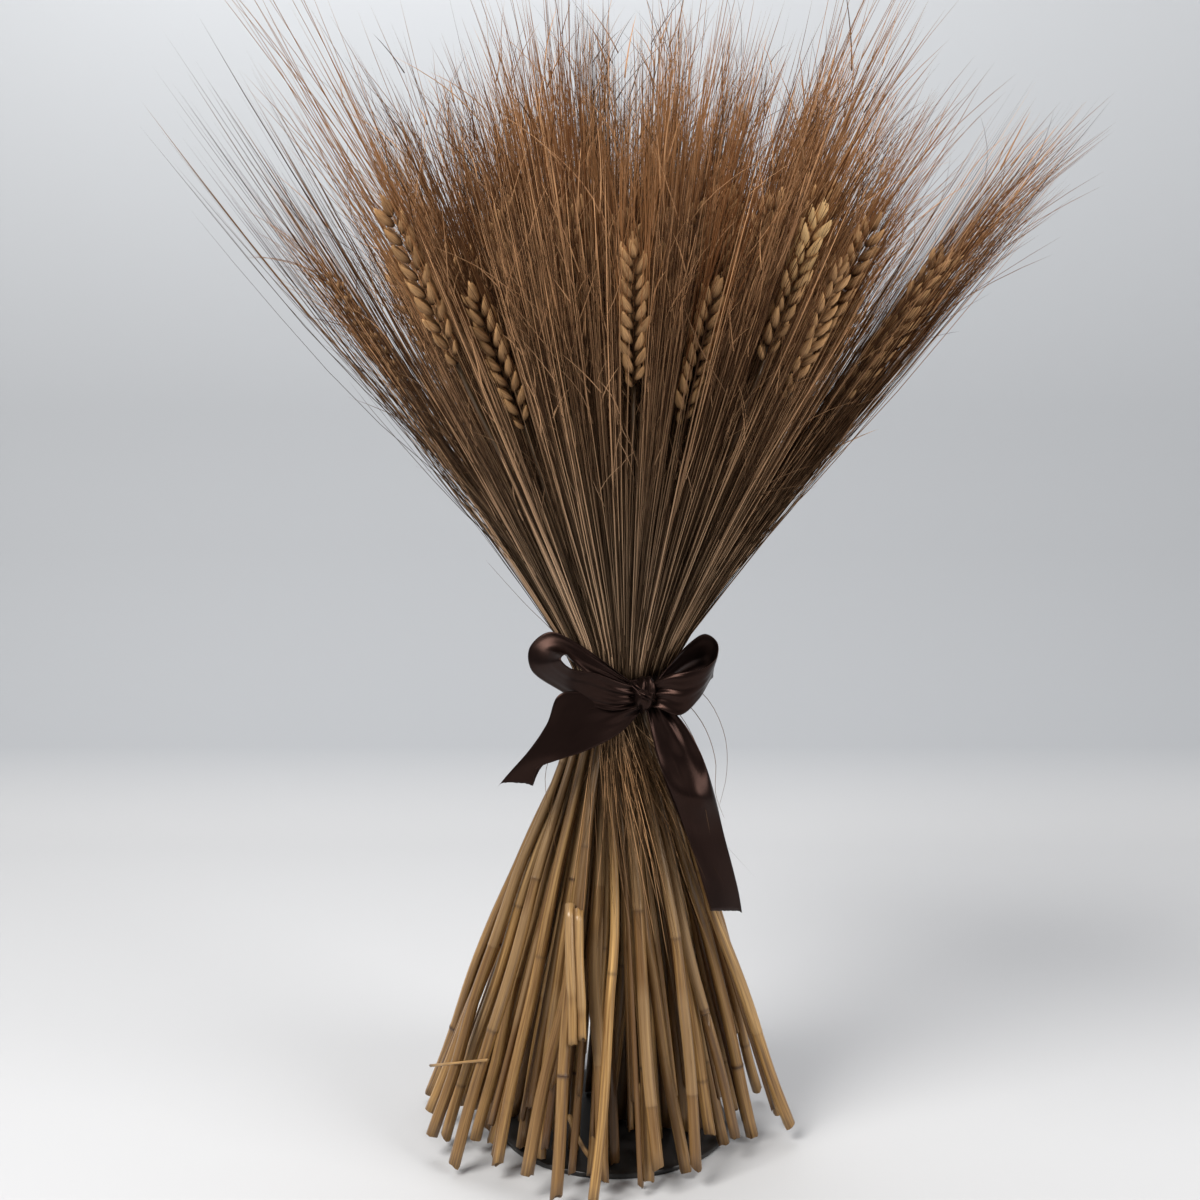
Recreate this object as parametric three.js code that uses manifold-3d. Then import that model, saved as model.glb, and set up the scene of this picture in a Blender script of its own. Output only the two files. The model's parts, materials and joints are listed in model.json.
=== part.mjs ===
// A tied bundle of dried bearded wheat that stands on a round plate. Millimetres, +Z up.
// The origin is the middle of the plate's underside, and the bow faces -Y.
//
// The stalks are gathered at a waist, and spread from it both ways: down to their cut feet, and up to
// their ears. They are pressed together in twos there, so each stalk mesh is two stalks. Every ear has
// two rows of spikelets and long awns. One length of satin ribbon goes round the waist and ends in a bow.
import * as THREE from "three";
import Module from "manifold-3d";
import { mergeVertices } from "three/addons/utils/BufferGeometryUtils.js";

const wasm = await Module();
wasm.setup();

// ---- Driving dimensions ----
const PLATE_RADIUS = 67;
const PLATE_THICKNESS = 3;
const PLATE_CHAMFER = 0.6;
const GAP = 0.3; // between pieces that touch

const NODES = 42; // of two stalks each
const WAIST_Z = 256;
const WAIST_RADIUS = 20; // to the middle of the outermost stalks
const WAIST_HALF = 13; // the tied stretch, each way from the waist
const WAIST_ROUND = 14; // how softly the spread begins
const FLARE_DOWN = 51.5; // height over which the spread grows by one waist radius
const FLARE_UP = 39;
const KNEE_Z = 125; // where a stalk bends a little, at its lowest node
const TWIST_DOWN = 0.5; // how far the stalks wind round each other, in radians
const TWIST_UP = -0.17;
const FLAT_FEET = 0.82; // depth against width at the feet, and at the ears
const FLAT_EARS = 0.86;
const AXIS_FEET_X = -11; // the bundle leans a little to the right
const AXIS_WAIST_X = 4;
const AXIS_EARS_X = 12;
const OUTER_LEAN = 0.13; // how much further the stalks round the outside hang out
const RIGHT_LEAN = 0.62; // and above that those at the far right and left
const LEFT_LEAN = 0.46;

const FOOT_RADIUS = 3.4;
const KNEE_RADIUS = 0.92; // against the foot's
const WAIST_STALK_RADIUS = 2.05;
const NECK_RADIUS = 1.25; // just under the ear
const NECK_LENGTH = 184; // from the waist to the ear, along the stalk
const NECK_VARIES = [0.86, 1.12];
const EAR_VARIES = [0.9, 1.08];
const FOOT_VARIES = [0.84, 1.14]; // in thickness
const HIGHEST_FOOT = 15; // of those that hang outside the plate
const BROKEN_STALK = 69; // this one is broken off above the floor
const BROKEN_FOOT_Z = 92;
const FEET_STRAY = 13; // how far the feet, necks and tips lie from an even spread
const NECKS_STRAY = 16;
const TIPS_STRAY = 26;

const EAR_LENGTH = 84;
const EAR_HALF_WIDTH = 6.4; // across the two rows
const EAR_HALF_DEPTH = 4.4;
const EAR_STEPS = 10; // spikelets, taken in turn from the right and the left row
const EAR_NARROW = 0.58; // width on the side across from a spikelet, against its own side
const EAR_SWAY = 0.22; // how far the ear's middle goes to and fro
const TIP_LIFT = 0.55; // how far a spikelet's tip stands up, in steps
const AWNED_SPIKELETS = [3, 4, 7, 8];
const AWN_RADIUS = 0.75;
const AWN_LENGTH = 118;
const LAST_AWN = 0.78; // length of the awn at the ear's tip, against the others
const AWN_AWAY = 0.2; // the least slope of an awn away from its own row
const AWN_SCATTER = 0.34; // how widely the awns are spread, as slopes
const AWN_VARIES = 0.36; // in length
const AWN_OPENS = 0.002; // how much more outwards the awns slope, for each mm that the ear leans out
const STRAND_RADIUS = 0.8;
const STRAND_LENGTH = 225; // a thin side shoot of the stalk, up among the ears
const STRAND_SCATTER = 0.16;
const STRAND_VARIES = 0.4;

const RIBBON_THICKNESS = 1.1;
const BAND_HALF_HEIGHT = 9; // the ribbon's width, drawn together round the waist
const KNOT = new THREE.Vector3(16, -29, 257);
const KNOT_SIZE = new THREE.Vector3(6.5, 9, 11);

const STRAW = new THREE.MeshStandardMaterial({ color: 0xb8905a, roughness: 0.62, metalness: 0 });
const SATIN = new THREE.MeshStandardMaterial({ color: 0x2b1a15, roughness: 0.35, metalness: 0 });
const BLACK = new THREE.MeshStandardMaterial({ color: 0x0f0d0e, roughness: 0.4, metalness: 0 });

const GOLDEN_ANGLE = Math.PI * (3 - Math.sqrt(5));
const SETTLE_ROUNDS = 260;
const SETTLE_STEP = 8; // between the heights at which the stalks are moved apart
const SQUEEZE = 0.004; // of the waist, in each of the first rounds
const PRESSED = 0.66; // distance of two stalks pressed together, against touching ones
const BAND_SIDES = 30;
const SCRAP_VOLUME = 3;
const NEEDLE_CLEARANCE = 1;
const NEEDLE_ATTEMPTS = 120;
const NEEDLE_NEAR = 0.76; // how near an awn's middle is to its spikelet's tip, on the shelf above it

// ---- Helpers ----

// A number from 0 to 1 that depends only on the stalk and on what it is drawn for.
function draw(stalk, what) {
  let hash = stalk + 1;
  for (const letter of what) hash = Math.imul(hash ^ letter.charCodeAt(0), 0x01000193);
  hash = Math.imul(hash ^ (hash >>> 15), 0x2c1b3c6d);
  hash = Math.imul(hash ^ (hash >>> 12), 0x297a2d39);
  return ((hash ^ (hash >>> 15)) >>> 0) / 2 ** 32;
}

const between = (low, high, share) => low + (high - low) * share;

// A closed surface from rings of the same number of points, anticlockwise seen from the last ring's
// side. A last ring of one point closes that end. Each side between two rings is split along one
// diagonal, and the sides in otherWay along the other one.
function loft(rings, otherWay = []) {
  const sides = rings[0].length;
  const faces = [];
  for (let r = 0; r + 1 < rings.length; r++) {
    const [start, next] = [r * sides, (r + 1) * sides];
    const pointed = rings[r + 1].length === 1;
    for (let i = 0; i < sides; i++) {
      const j = (i + 1) % sides;
      if (pointed) {
        faces.push([start + i, start + j, next]);
      } else if (otherWay.includes(i)) {
        faces.push([start + i, start + j, next + i], [start + j, next + j, next + i]);
      } else {
        faces.push([start + i, start + j, next + j], [start + i, next + j, next + i]);
      }
    }
  }
  for (let i = 1; i + 1 < sides; i++) faces.push([0, i + 1, i]);
  const last = (rings.length - 1) * sides;
  for (let i = 1; i + 1 < rings.at(-1).length; i++) faces.push([last, last + i, last + i + 1]);
  return { points: rings.flat(), faces };
}

// Raises a three-sided needle from inside one face of a surface, near that face's first corner.
function raiseNeedle({ points, faces }, face, tip, radius) {
  const corners = faces[face];
  const [first, second, third] = corners.map((corner) => points[corner]);
  const middle = second.clone().lerp(third, 0.5).lerp(first, NEEDLE_NEAR);
  const foot = points.length;
  for (const corner of [first, second, third]) {
    const way = corner.clone().sub(middle).normalize();
    points.push(middle.clone().addScaledVector(way, radius));
  }
  points.push(tip);
  const sides = [0, 1, 2].flatMap((i) => {
    const j = (i + 1) % 3;
    return [
      [corners[i], corners[j], foot + j],
      [corners[i], foot + j, foot + i],
      [foot + i, foot + j, foot + 3],
    ];
  });
  faces[face] = sides[0];
  faces.push(...sides.slice(1));
}

function solidOf({ points, faces }) {
  const mesh = new wasm.Mesh({
    numProp: 3,
    vertProperties: new Float32Array(points.flatMap((p) => [p.x, p.y, p.z])),
    triVerts: new Uint32Array(faces.flat()),
  });
  return new wasm.Manifold(mesh);
}

// A three.js geometry as a solid that can be joined with others.
function solidOfGeometry(geometry) {
  const bare = geometry.toNonIndexed();
  bare.deleteAttribute("normal");
  bare.deleteAttribute("uv");
  const merged = mergeVertices(bare, 1e-4);
  const mesh = new wasm.Mesh({
    numProp: 3,
    vertProperties: merged.attributes.position.array,
    triVerts: new Uint32Array(merged.index.array),
  });
  return new wasm.Manifold(mesh);
}

// The joined solids as one named mesh. A hollow that joining sealed is filled, and a scrap is dropped.
function joinedMesh(name, material, solids) {
  const bodies = wasm.Manifold.union(solids).decompose();
  const whole = bodies.reduce((a, b) => (b.volume() > a.volume() ? b : a));
  const loose = bodies.filter((body) => body !== whole && body.volume() > SCRAP_VOLUME);
  if (loose.length) throw new Error(name + " isn't one body");
  const { numProp, vertProperties, triVerts } = whole.getMesh();
  const position = new Float32Array((vertProperties.length / numProp) * 3);
  for (let i = 0; i < position.length / 3; i++) {
    position.set(vertProperties.subarray(i * numProp, i * numProp + 3), i * 3);
  }
  const geometry = new THREE.BufferGeometry();
  geometry.setAttribute("position", new THREE.BufferAttribute(position, 3));
  geometry.setIndex(new THREE.BufferAttribute(new Uint32Array(triVerts), 1));
  geometry.computeVertexNormals();
  const mesh = new THREE.Mesh(geometry, material);
  mesh.name = name;
  return mesh;
}

// Two directions square to a third one, the first of them turned by an angle.
function squareTo(direction, turn) {
  const side = new THREE.Vector3(1, 0, 0).cross(direction).normalize();
  const other = direction.clone().cross(side);
  const first = side.clone().multiplyScalar(Math.cos(turn)).addScaledVector(other, Math.sin(turn));
  return [first, direction.clone().cross(first)];
}

// The shortest way between two straight stretches.
function gapBetween(a0, a1, b0, b1) {
  const [u, v, w] = [a1.clone().sub(a0), b1.clone().sub(b0), a0.clone().sub(b0)];
  const [uu, uv, vv, uw, vw] = [u.dot(u), u.dot(v), v.dot(v), u.dot(w), v.dot(w)];
  const across = uu * vv - uv * uv;
  const clamp = (x) => Math.min(1, Math.max(0, x));
  let s = across > 1e-9 ? clamp((uv * vw - vv * uw) / across) : 0;
  const t = clamp((uv * s + vw) / vv);
  s = clamp((uv * t - uw) / uu);
  return w.addScaledVector(u, s).addScaledVector(v, -t).length();
}

// ---- The plate ----
function plateMesh() {
  const profile = [
    [0, 0],
    [PLATE_RADIUS - PLATE_CHAMFER, 0],
    [PLATE_RADIUS, PLATE_CHAMFER],
    [PLATE_RADIUS, PLATE_THICKNESS - PLATE_CHAMFER],
    [PLATE_RADIUS - PLATE_CHAMFER, PLATE_THICKNESS],
    [0, PLATE_THICKNESS],
  ].map(([r, z]) => new THREE.Vector2(r, z));
  const mesh = new THREE.Mesh(new THREE.LatheGeometry(profile, 40), BLACK);
  mesh.name = "base_plate";
  mesh.rotation.x = Math.PI / 2; // a lathe turns about +Y
  return mesh;
}

// ---- Where the stalks run ----

// The place at height z of a stalk that crosses the waist at (x, y): the whole bundle's section there
// is the waist's section, spread, turned and flattened.
function spreadTo(x, y, z) {
  const h = z - WAIST_Z;
  const outer = (Math.hypot(x, y) / WAIST_RADIUS) ** 4;
  const sideways = Math.abs(x / Math.hypot(x, y)) ** 12;
  const sideLean = (x > 0 ? RIGHT_LEAN : LEFT_LEAN) * sideways;
  const hang = h > 0 ? 1 + outer * (OUTER_LEAN + sideLean) : 1;
  const flare = h > 0 ? FLARE_UP : FLARE_DOWN;
  const grown = (hang * (Math.hypot(h, WAIST_ROUND) - WAIST_ROUND)) / flare;
  const turn = ((h > 0 ? TWIST_UP : TWIST_DOWN) * Math.abs(h)) / Math.hypot(h, 70);
  const flat = between(1, h > 0 ? FLAT_EARS : FLAT_FEET, grown / (1 + grown));
  const lean =
    h > 0
      ? between(AXIS_WAIST_X, AXIS_EARS_X, h / NECK_LENGTH)
      : between(AXIS_FEET_X, AXIS_WAIST_X, z / WAIST_Z);
  const [c, s] = [Math.cos(turn), Math.sin(turn)];
  const spread = 1 + grown;
  return new THREE.Vector3(lean + spread * (x * c - y * s), flat * spread * (x * s + y * c), z);
}

// A step to the side, of up to half the size given.
function astray(index, what, size) {
  const [x, y] = [draw(index, what + " x") - 0.5, draw(index, what + " y") - 0.5];
  return new THREE.Vector3(size * x, size * y, 0);
}

// How high a stalk ends: on the plate, hanging outside it, or broken off.
function footHeight(index, x, y) {
  if (index === BROKEN_STALK) return BROKEN_FOOT_Z;
  const foot = spreadTo(x, y, 0);
  const onPlate = Math.hypot(foot.x, foot.y) < PLATE_RADIUS + FOOT_RADIUS;
  const lowest = PLATE_THICKNESS + GAP;
  return onPlate ? lowest : between(lowest, HIGHEST_FOOT, draw(index, "foot") ** 2);
}

// One stalk: its knots from the foot to the ear's tip, and its radius at each.
function newStalk(index) {
  const node = Math.floor(index / 2);
  const ring = WAIST_RADIUS * Math.sqrt((node + 0.4) / NODES);
  const angle = node * GOLDEN_ANGLE;
  const side = index % 2 ? 1 : -1;
  const across = angle + Math.PI / 2 + 0.9 * (draw(node, "side") - 0.5);
  const x = ring * Math.cos(angle) + side * WAIST_STALK_RADIUS * Math.cos(across);
  const y = ring * Math.sin(angle) + side * WAIST_STALK_RADIUS * Math.sin(across);
  const slant = Math.hypot(1, Math.hypot(x, y) / FLARE_UP);
  const neck = WAIST_Z + (NECK_LENGTH * between(...NECK_VARIES, draw(index, "neck"))) / slant;
  const tip = neck + (EAR_LENGTH * between(...EAR_VARIES, draw(index, "ear"))) / slant;
  const foot = footHeight(index, x, y);
  const knee = Math.max(KNEE_Z, foot + 20);
  const levels = [foot, knee, WAIST_Z - WAIST_HALF, WAIST_Z + WAIST_HALF, neck, tip];
  const knots = levels.map((z) => spreadTo(x, y, z));
  knots[0].add(astray(index, "foot", FEET_STRAY));
  knots[4].add(astray(index, "neck", NECKS_STRAY));
  knots[5].add(astray(index, "neck", TIPS_STRAY));
  const thick = FOOT_RADIUS * between(...FOOT_VARIES, draw(index, "thick"));
  const waist = WAIST_STALK_RADIUS;
  const radii = [thick, KNEE_RADIUS * thick, waist, waist, NECK_RADIUS, EAR_HALF_WIDTH];
  return { index, node, knots, radii, rowTurn: Math.PI * draw(index, "turn") };
}

// Where a stalk is at height z: the knot below, the share of the way to the next one, and the radius.
function sectionAt({ knots, radii }, z) {
  if (z < knots[0].z || z > knots[5].z) return null;
  const k = knots.findIndex((knot, i) => i < 5 && z <= knots[i + 1].z);
  const share = (z - knots[k].z) / (knots[k + 1].z - knots[k].z);
  const radius = k === 4 ? EAR_HALF_WIDTH + 0.6 : 1.02 * between(radii[k], radii[k + 1], share);
  return { share, radius, low: knots[k], high: knots[k + 1] };
}

// Moves a stalk's section at one height, by moving the knots below and above it.
function shift(section, dx, dy) {
  const { share, low, high } = section;
  const whole = share ** 2 + (1 - share) ** 2;
  low.x += (dx * (1 - share)) / whole;
  low.y += (dy * (1 - share)) / whole;
  high.x += (dx * share) / whole;
  high.y += (dy * share) / whole;
  section.x += dx;
  section.y += dy;
}

// Moves two stalks apart at one height where they are too near. The two stalks of a node are held
// pressed together in the waist.
function settlePair(a, b, inWaist) {
  const [dx, dy] = [b.x - a.x, b.y - a.y];
  const apart = Math.hypot(dx, dy);
  const pressed = inWaist && a.stalk.node === b.stalk.node;
  const reach = a.radius + b.radius;
  const wanted = pressed ? PRESSED * reach : reach + GAP;
  if (apart >= wanted && !pressed) return;
  const push = (0.3 * (wanted - apart)) / apart;
  shift(a, -push * dx, -push * dy);
  shift(b, push * dx, push * dy);
}

// Draws the waist together, and moves the stalks until none lies in another, as a tie packs them.
function settle(stalks) {
  const top = Math.max(...stalks.map(({ knots }) => knots[5].z));
  for (let round = 0; round < SETTLE_ROUNDS; round++) {
    const squeeze = round < 0.6 * SETTLE_ROUNDS ? SQUEEZE : 0;
    for (const { knots } of stalks) {
      for (const knot of knots.slice(2, 4)) {
        knot.x -= squeeze * (knot.x - AXIS_WAIST_X);
        knot.y -= squeeze * knot.y;
      }
    }
    for (let z = PLATE_THICKNESS + GAP; z < top; z += SETTLE_STEP) {
      const inWaist = Math.abs(z - WAIST_Z) < WAIST_HALF;
      const sections = stalks.flatMap((stalk) => {
        const section = sectionAt(stalk, z);
        if (!section) return [];
        const { low, high, share } = section;
        const { x, y } = low.clone().lerp(high, share);
        return [{ ...section, stalk, x, y }];
      });
      sections.forEach((a, i) => sections.slice(i + 1).forEach((b) => settlePair(a, b, inWaist)));
    }
  }
}

// ---- What a stalk is made of ----

// The ear's own directions: along it, across its two rows, and out of its flat face.
function earAxes({ knots, rowTurn }) {
  const along = knots[5].clone().sub(knots[4]);
  const length = along.length();
  along.normalize();
  const [row, face] = squareTo(along, rowTurn);
  return { along, length, row, face };
}

// The straw, as four-cornered rings from its cut foot to just below the ear.
function strawRings(stalk) {
  const { row } = earAxes(stalk);
  const start = Math.atan2(row.y, row.x);
  return stalk.knots.slice(0, 5).map((knot, k) =>
    [0, 1, 2, 3].map((corner) => {
      const angle = start + (corner * Math.PI) / 2;
      const radius = stalk.radii[k];
      const out = new THREE.Vector3(radius * Math.cos(angle), radius * Math.sin(angle), 0);
      return knot.clone().add(out);
    }),
  );
}

// Half the ear's width at a share of its length: full soon above the neck, and blunt at the tip.
const earSwell = (share) => Math.sin(Math.PI * between(0.16, 0.93, share)) ** 0.55;

// The ear, as four-cornered rings. The rows swell in turn, so the spikelets' tips stand out left and
// right like a plait, and each tip is lifted above its ring. The ear ends in an awn of its own.
function earRings(stalk, lastAwn) {
  const { along, length, row, face } = earAxes(stalk);
  const step = length / (EAR_STEPS + 1);
  const at = (rise, across, out) =>
    stalk.knots[4]
      .clone()
      .addScaledVector(along, rise)
      .addScaledVector(row, across)
      .addScaledVector(face, out);
  const rings = [];
  for (let j = 1; j <= EAR_STEPS; j++) {
    const swell = earSwell(j / EAR_STEPS);
    const [width, depth] = [EAR_HALF_WIDTH * swell, EAR_HALF_DEPTH * swell];
    const [right, left] = j % 2 ? [1, EAR_NARROW] : [EAR_NARROW, 1];
    const sway = (j % 2 ? EAR_SWAY : -EAR_SWAY) * width;
    const lift = (share) => (share === 1 ? TIP_LIFT * step : 0);
    rings.push([
      at(j * step + lift(right), right * width, 0),
      at(j * step, sway, depth),
      at(j * step + lift(left), -left * width, 0),
      at(j * step, sway, -depth),
    ]);
  }
  const r = AWN_RADIUS;
  rings.push([at(length, r, 0), at(length, 0, r), at(length, -r, 0), at(length, 0, -r)], [lastAwn]);
  return rings;
}

// The straw and its ear as one solid, with an awn raised from the shelf above each awned spikelet.
function stalkSolid(stalk, awns) {
  const lastAwn = awns.at(-1).tip;
  const surface = loft([...strawRings(stalk), ...earRings(stalk, lastAwn)]);
  for (const { spikelet, tip } of awns.slice(0, -1)) {
    const corner = spikelet % 2 ? 0 : 2;
    const face = 2 * (4 * (4 + spikelet) + corner) + 1;
    raiseNeedle(surface, face, tip, AWN_RADIUS);
  }
  return solidOf(surface);
}

// A three-sided needle, from its root inside another solid to a point.
function needleSolid({ root, tip, radius }) {
  const along = tip.clone().sub(root).normalize();
  const [a, b] = squareTo(along, 0);
  const ring = [0, 1, 2].map((i) => {
    const angle = (2 * Math.PI * i) / 3;
    return root
      .clone()
      .addScaledVector(a, radius * Math.cos(angle))
      .addScaledVector(b, radius * Math.sin(angle));
  });
  return solidOf(loft([ring, [tip]]));
}

// The first needle of those offered that crosses nothing placed before. A needle may touch the stalk
// that it grows from.
function firstClear(offer, owner, placed) {
  for (let attempt = 0; attempt < NEEDLE_ATTEMPTS; attempt++) {
    const needle = offer(attempt);
    const clear = placed.every((other) => {
      if (other.owner === owner && !other.spikelet) return true;
      const apart = gapBetween(needle.root, needle.tip, other.root, other.tip);
      return apart > other.radius + needle.radius + NEEDLE_CLEARANCE;
    });
    if (clear) {
      placed.push({ owner, ...needle });
      return [needle];
    }
  }
  return [];
}

// The awns of one ear, from spikelets up both rows and from its tip. Each is turned away from its own
// row, and outwards, the more so the further the ear leans.
function awnsOf(stalk, placed) {
  const { along, length, row, face } = earAxes(stalk);
  const step = length / (EAR_STEPS + 1);
  const outward = new THREE.Vector3(stalk.knots[5].x - AXIS_EARS_X, stalk.knots[5].y, 0);
  const open = AWN_OPENS * outward.length();
  outward.normalize();
  return [...AWNED_SPIKELETS, EAR_STEPS + 1].flatMap((spikelet) => {
    const last = spikelet > EAR_STEPS;
    const side = last ? 0 : spikelet % 2 ? 1 : -1;
    const width = last ? 0 : EAR_HALF_WIDTH * earSwell(spikelet / EAR_STEPS);
    const root = stalk.knots[4]
      .clone()
      .addScaledVector(along, (spikelet + (last ? 0 : TIP_LIFT)) * step)
      .addScaledVector(row, NEEDLE_NEAR * side * width);
    const offer = (attempt) => {
      const at = (what) => draw(stalk.index, [what, spikelet, attempt].join(" ")) - 0.5;
      const way = along
        .clone()
        .addScaledVector(row, AWN_SCATTER * at("row"))
        .addScaledVector(face, AWN_SCATTER * at("face"))
        .addScaledVector(outward, open * (1 + 2 * at("out")));
      const away = side * way.dot(row);
      if (side) way.addScaledVector(row, side * Math.max(0, AWN_AWAY - away));
      way.normalize();
      const awnLength = AWN_LENGTH * (last ? LAST_AWN : 1) * (1 + AWN_VARIES * at("length"));
      const tip = root.clone().addScaledVector(way, awnLength);
      return { root, tip, radius: AWN_RADIUS, spikelet };
    };
    return firstClear(offer, stalk.index, placed);
  });
}

// A thin side shoot, which leaves its stalk above the bow and runs up among the ears.
function strandsOf(stalk, placed) {
  const [, , , low, high] = stalk.knots;
  const offer = (attempt) => {
    const at = (what) => draw(stalk.index, [what, "strand", attempt].join(" ")) - 0.5;
    const root = low.clone().lerp(high, 0.34 + 0.3 * at("root"));
    const way = high.clone().sub(low).normalize();
    way.add(new THREE.Vector3(at("x"), at("y"), 0).multiplyScalar(STRAND_SCATTER)).normalize();
    const tip = root.clone().addScaledVector(way, STRAND_LENGTH * (1 + STRAND_VARIES * at("length")));
    return { root, tip, radius: STRAND_RADIUS };
  };
  return firstClear(offer, stalk.index, placed);
}

// What a needle must stay clear of on every stalk: the straw between its knots, and the ear.
function obstaclesOf({ index, knots, radii }) {
  return knots.slice(1).map((tip, k) => ({
    owner: index,
    root: knots[k],
    tip,
    radius: k === 4 ? EAR_HALF_WIDTH : Math.max(radii[k], radii[k + 1]),
  }));
}

// The meshes of two stalks each, with their ears, awns and strands.
function stalkMeshes(stalks) {
  const placed = stalks.flatMap(obstaclesOf);
  const awns = stalks.map((stalk) => awnsOf(stalk, placed));
  const strands = stalks.map((stalk) => strandsOf(stalk, placed));
  return Array.from({ length: NODES }, (_, node) => {
    const both = [2 * node, 2 * node + 1];
    const solids = both.flatMap((index) => [
      stalkSolid(stalks[index], awns[index]),
      ...strands[index].map(needleSolid),
    ]);
    return joinedMesh("stalks_" + String(node + 1).padStart(2, "0"), STRAW, solids);
  });
}

// ---- The ribbon ----

// A smooth line through points given from the knot's middle.
function smoothEdge(points) {
  const placed = points.map(([x, y, z]) => new THREE.Vector3(x, y, z).add(KNOT));
  return new THREE.CatmullRomCurve3(placed, false, "centripetal");
}

// A strip of ribbon between its upper and lower edge, as one closed body. Its two faces are split into
// triangles alike, so that they don't cross where it winds.
function ribbonStrip(upperEdge, lowerEdge, steps) {
  const [upper, lower] = [smoothEdge(upperEdge), smoothEdge(lowerEdge)];
  const rings = [];
  for (let i = 0; i <= steps; i++) {
    const [a, b] = [upper.getPoint(i / steps), lower.getPoint(i / steps)];
    const [before, after] = [Math.max(0, i - 0.5) / steps, Math.min(steps, i + 0.5) / steps];
    const along = upper.getPoint(after).add(lower.getPoint(after));
    along.sub(upper.getPoint(before)).sub(lower.getPoint(before));
    const out = along.cross(a.clone().sub(b)).normalize().multiplyScalar(RIBBON_THICKNESS / 2);
    rings.push([a.clone().add(out), b.clone().add(out), b.clone().sub(out), a.clone().sub(out)]);
  }
  return solidOf(loft(rings, [2]));
}

function leftLoop() {
  return ribbonStrip(
    [
      [0, 0, 3],
      [-12, -7, 7],
      [-27, -12, 13],
      [-40, -14, 16],
      [-45, -12, 23],
      [-42, -8, 27],
      [-32, -6, 26],
      [-22, -4, 18],
      [-3, 0, 5],
    ],
    [
      [-1, 0, -6],
      [-18, -5, -8],
      [-33, -3, -4],
      [-46, 0, 2],
      [-62, 3, 13],
      [-63, 5, 25],
      [-52, 4, 34],
      [-36, 0, 29],
      [-5, 0, 4],
    ],
    16,
  );
}

function rightLoop() {
  return ribbonStrip(
    [
      [1, 0, 5],
      [14, -8, 12],
      [24, -11, 14],
      [34, -9, 16],
      [40, -4, 22],
      [40, 0, 29],
      [34, 3, 33],
      [25, 3, 28],
      [5, 0, 6],
    ],
    [
      [1, 0, -6],
      [9, -7, -7],
      [19, -10, -10],
      [30, -5, -2],
      [37, 4, 7],
      [38, 12, 11],
      [34, 16, 14],
      [26, 14, 9],
      [5, 2, -2],
    ],
    16,
  );
}

function leftTail() {
  return ribbonStrip(
    [
      [0, 0, -1],
      [-25, -3, 1],
      [-47, -7, -3],
      [-62, -8, -24],
      [-78, -6, -48],
    ],
    [
      [-1, 0, -9],
      [-12, -5, -20],
      [-30, -10, -29],
      [-45, -11, -34],
      [-59, -9, -39],
    ],
    10,
  );
}

function rightTail() {
  return ribbonStrip(
    [
      [8, 0, -2],
      [21, -5, -14],
      [31, -8, -31],
      [38, -8, -52],
      [46, -6, -84],
      [55, -3, -118],
    ],
    [
      [1, 0, -3],
      [4, -6, -20],
      [7, -10, -32],
      [14, -12, -53],
      [27, -15, -85],
      [36, -18, -116],
    ],
    12,
  );
}

// The turn of ribbon round the waist, which just clears the stalks in it.
function ribbonBand(stalks) {
  const edges = [WAIST_Z - BAND_HALF_HEIGHT, WAIST_Z + BAND_HALF_HEIGHT];
  const reaches = stalks.flatMap((stalk) =>
    edges.map((z) => {
      const { low, high, share } = sectionAt(stalk, z);
      const at = low.clone().lerp(high, share);
      return Math.hypot(at.x - AXIS_WAIST_X, at.y) + WAIST_STALK_RADIUS;
    }),
  );
  const inner = (Math.max(...reaches) + GAP) / Math.cos(Math.PI / BAND_SIDES);
  const outer = inner + RIBBON_THICKNESS;
  const profile = [
    [inner, -BAND_HALF_HEIGHT],
    [outer, -BAND_HALF_HEIGHT],
    [outer, BAND_HALF_HEIGHT],
    [inner, BAND_HALF_HEIGHT],
    [inner, -BAND_HALF_HEIGHT],
  ].map(([r, z]) => new THREE.Vector2(r, z));
  const ring = new THREE.LatheGeometry(profile, BAND_SIDES);
  ring.rotateX(Math.PI / 2); // a lathe turns about +Y
  ring.translate(AXIS_WAIST_X, 0, WAIST_Z);
  return solidOfGeometry(ring);
}

function ribbonKnot() {
  const knot = new THREE.SphereGeometry(1, 12, 8);
  knot.scale(KNOT_SIZE.x, KNOT_SIZE.y, KNOT_SIZE.z);
  knot.translate(KNOT.x, KNOT.y, KNOT.z);
  return solidOfGeometry(knot);
}

function ribbonMesh(stalks) {
  const pieces = [ribbonBand(stalks), ribbonKnot(), leftLoop(), rightLoop(), leftTail(), rightTail()];
  return joinedMesh("ribbon", SATIN, pieces);
}

// ---- The whole bundle ----
const stalks = Array.from({ length: 2 * NODES }, (_, index) => newStalk(index));
settle(stalks);

const bundle = new THREE.Group();
bundle.add(plateMesh(), ribbonMesh(stalks), ...stalkMeshes(stalks));

export default bundle;
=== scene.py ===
import json

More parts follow.
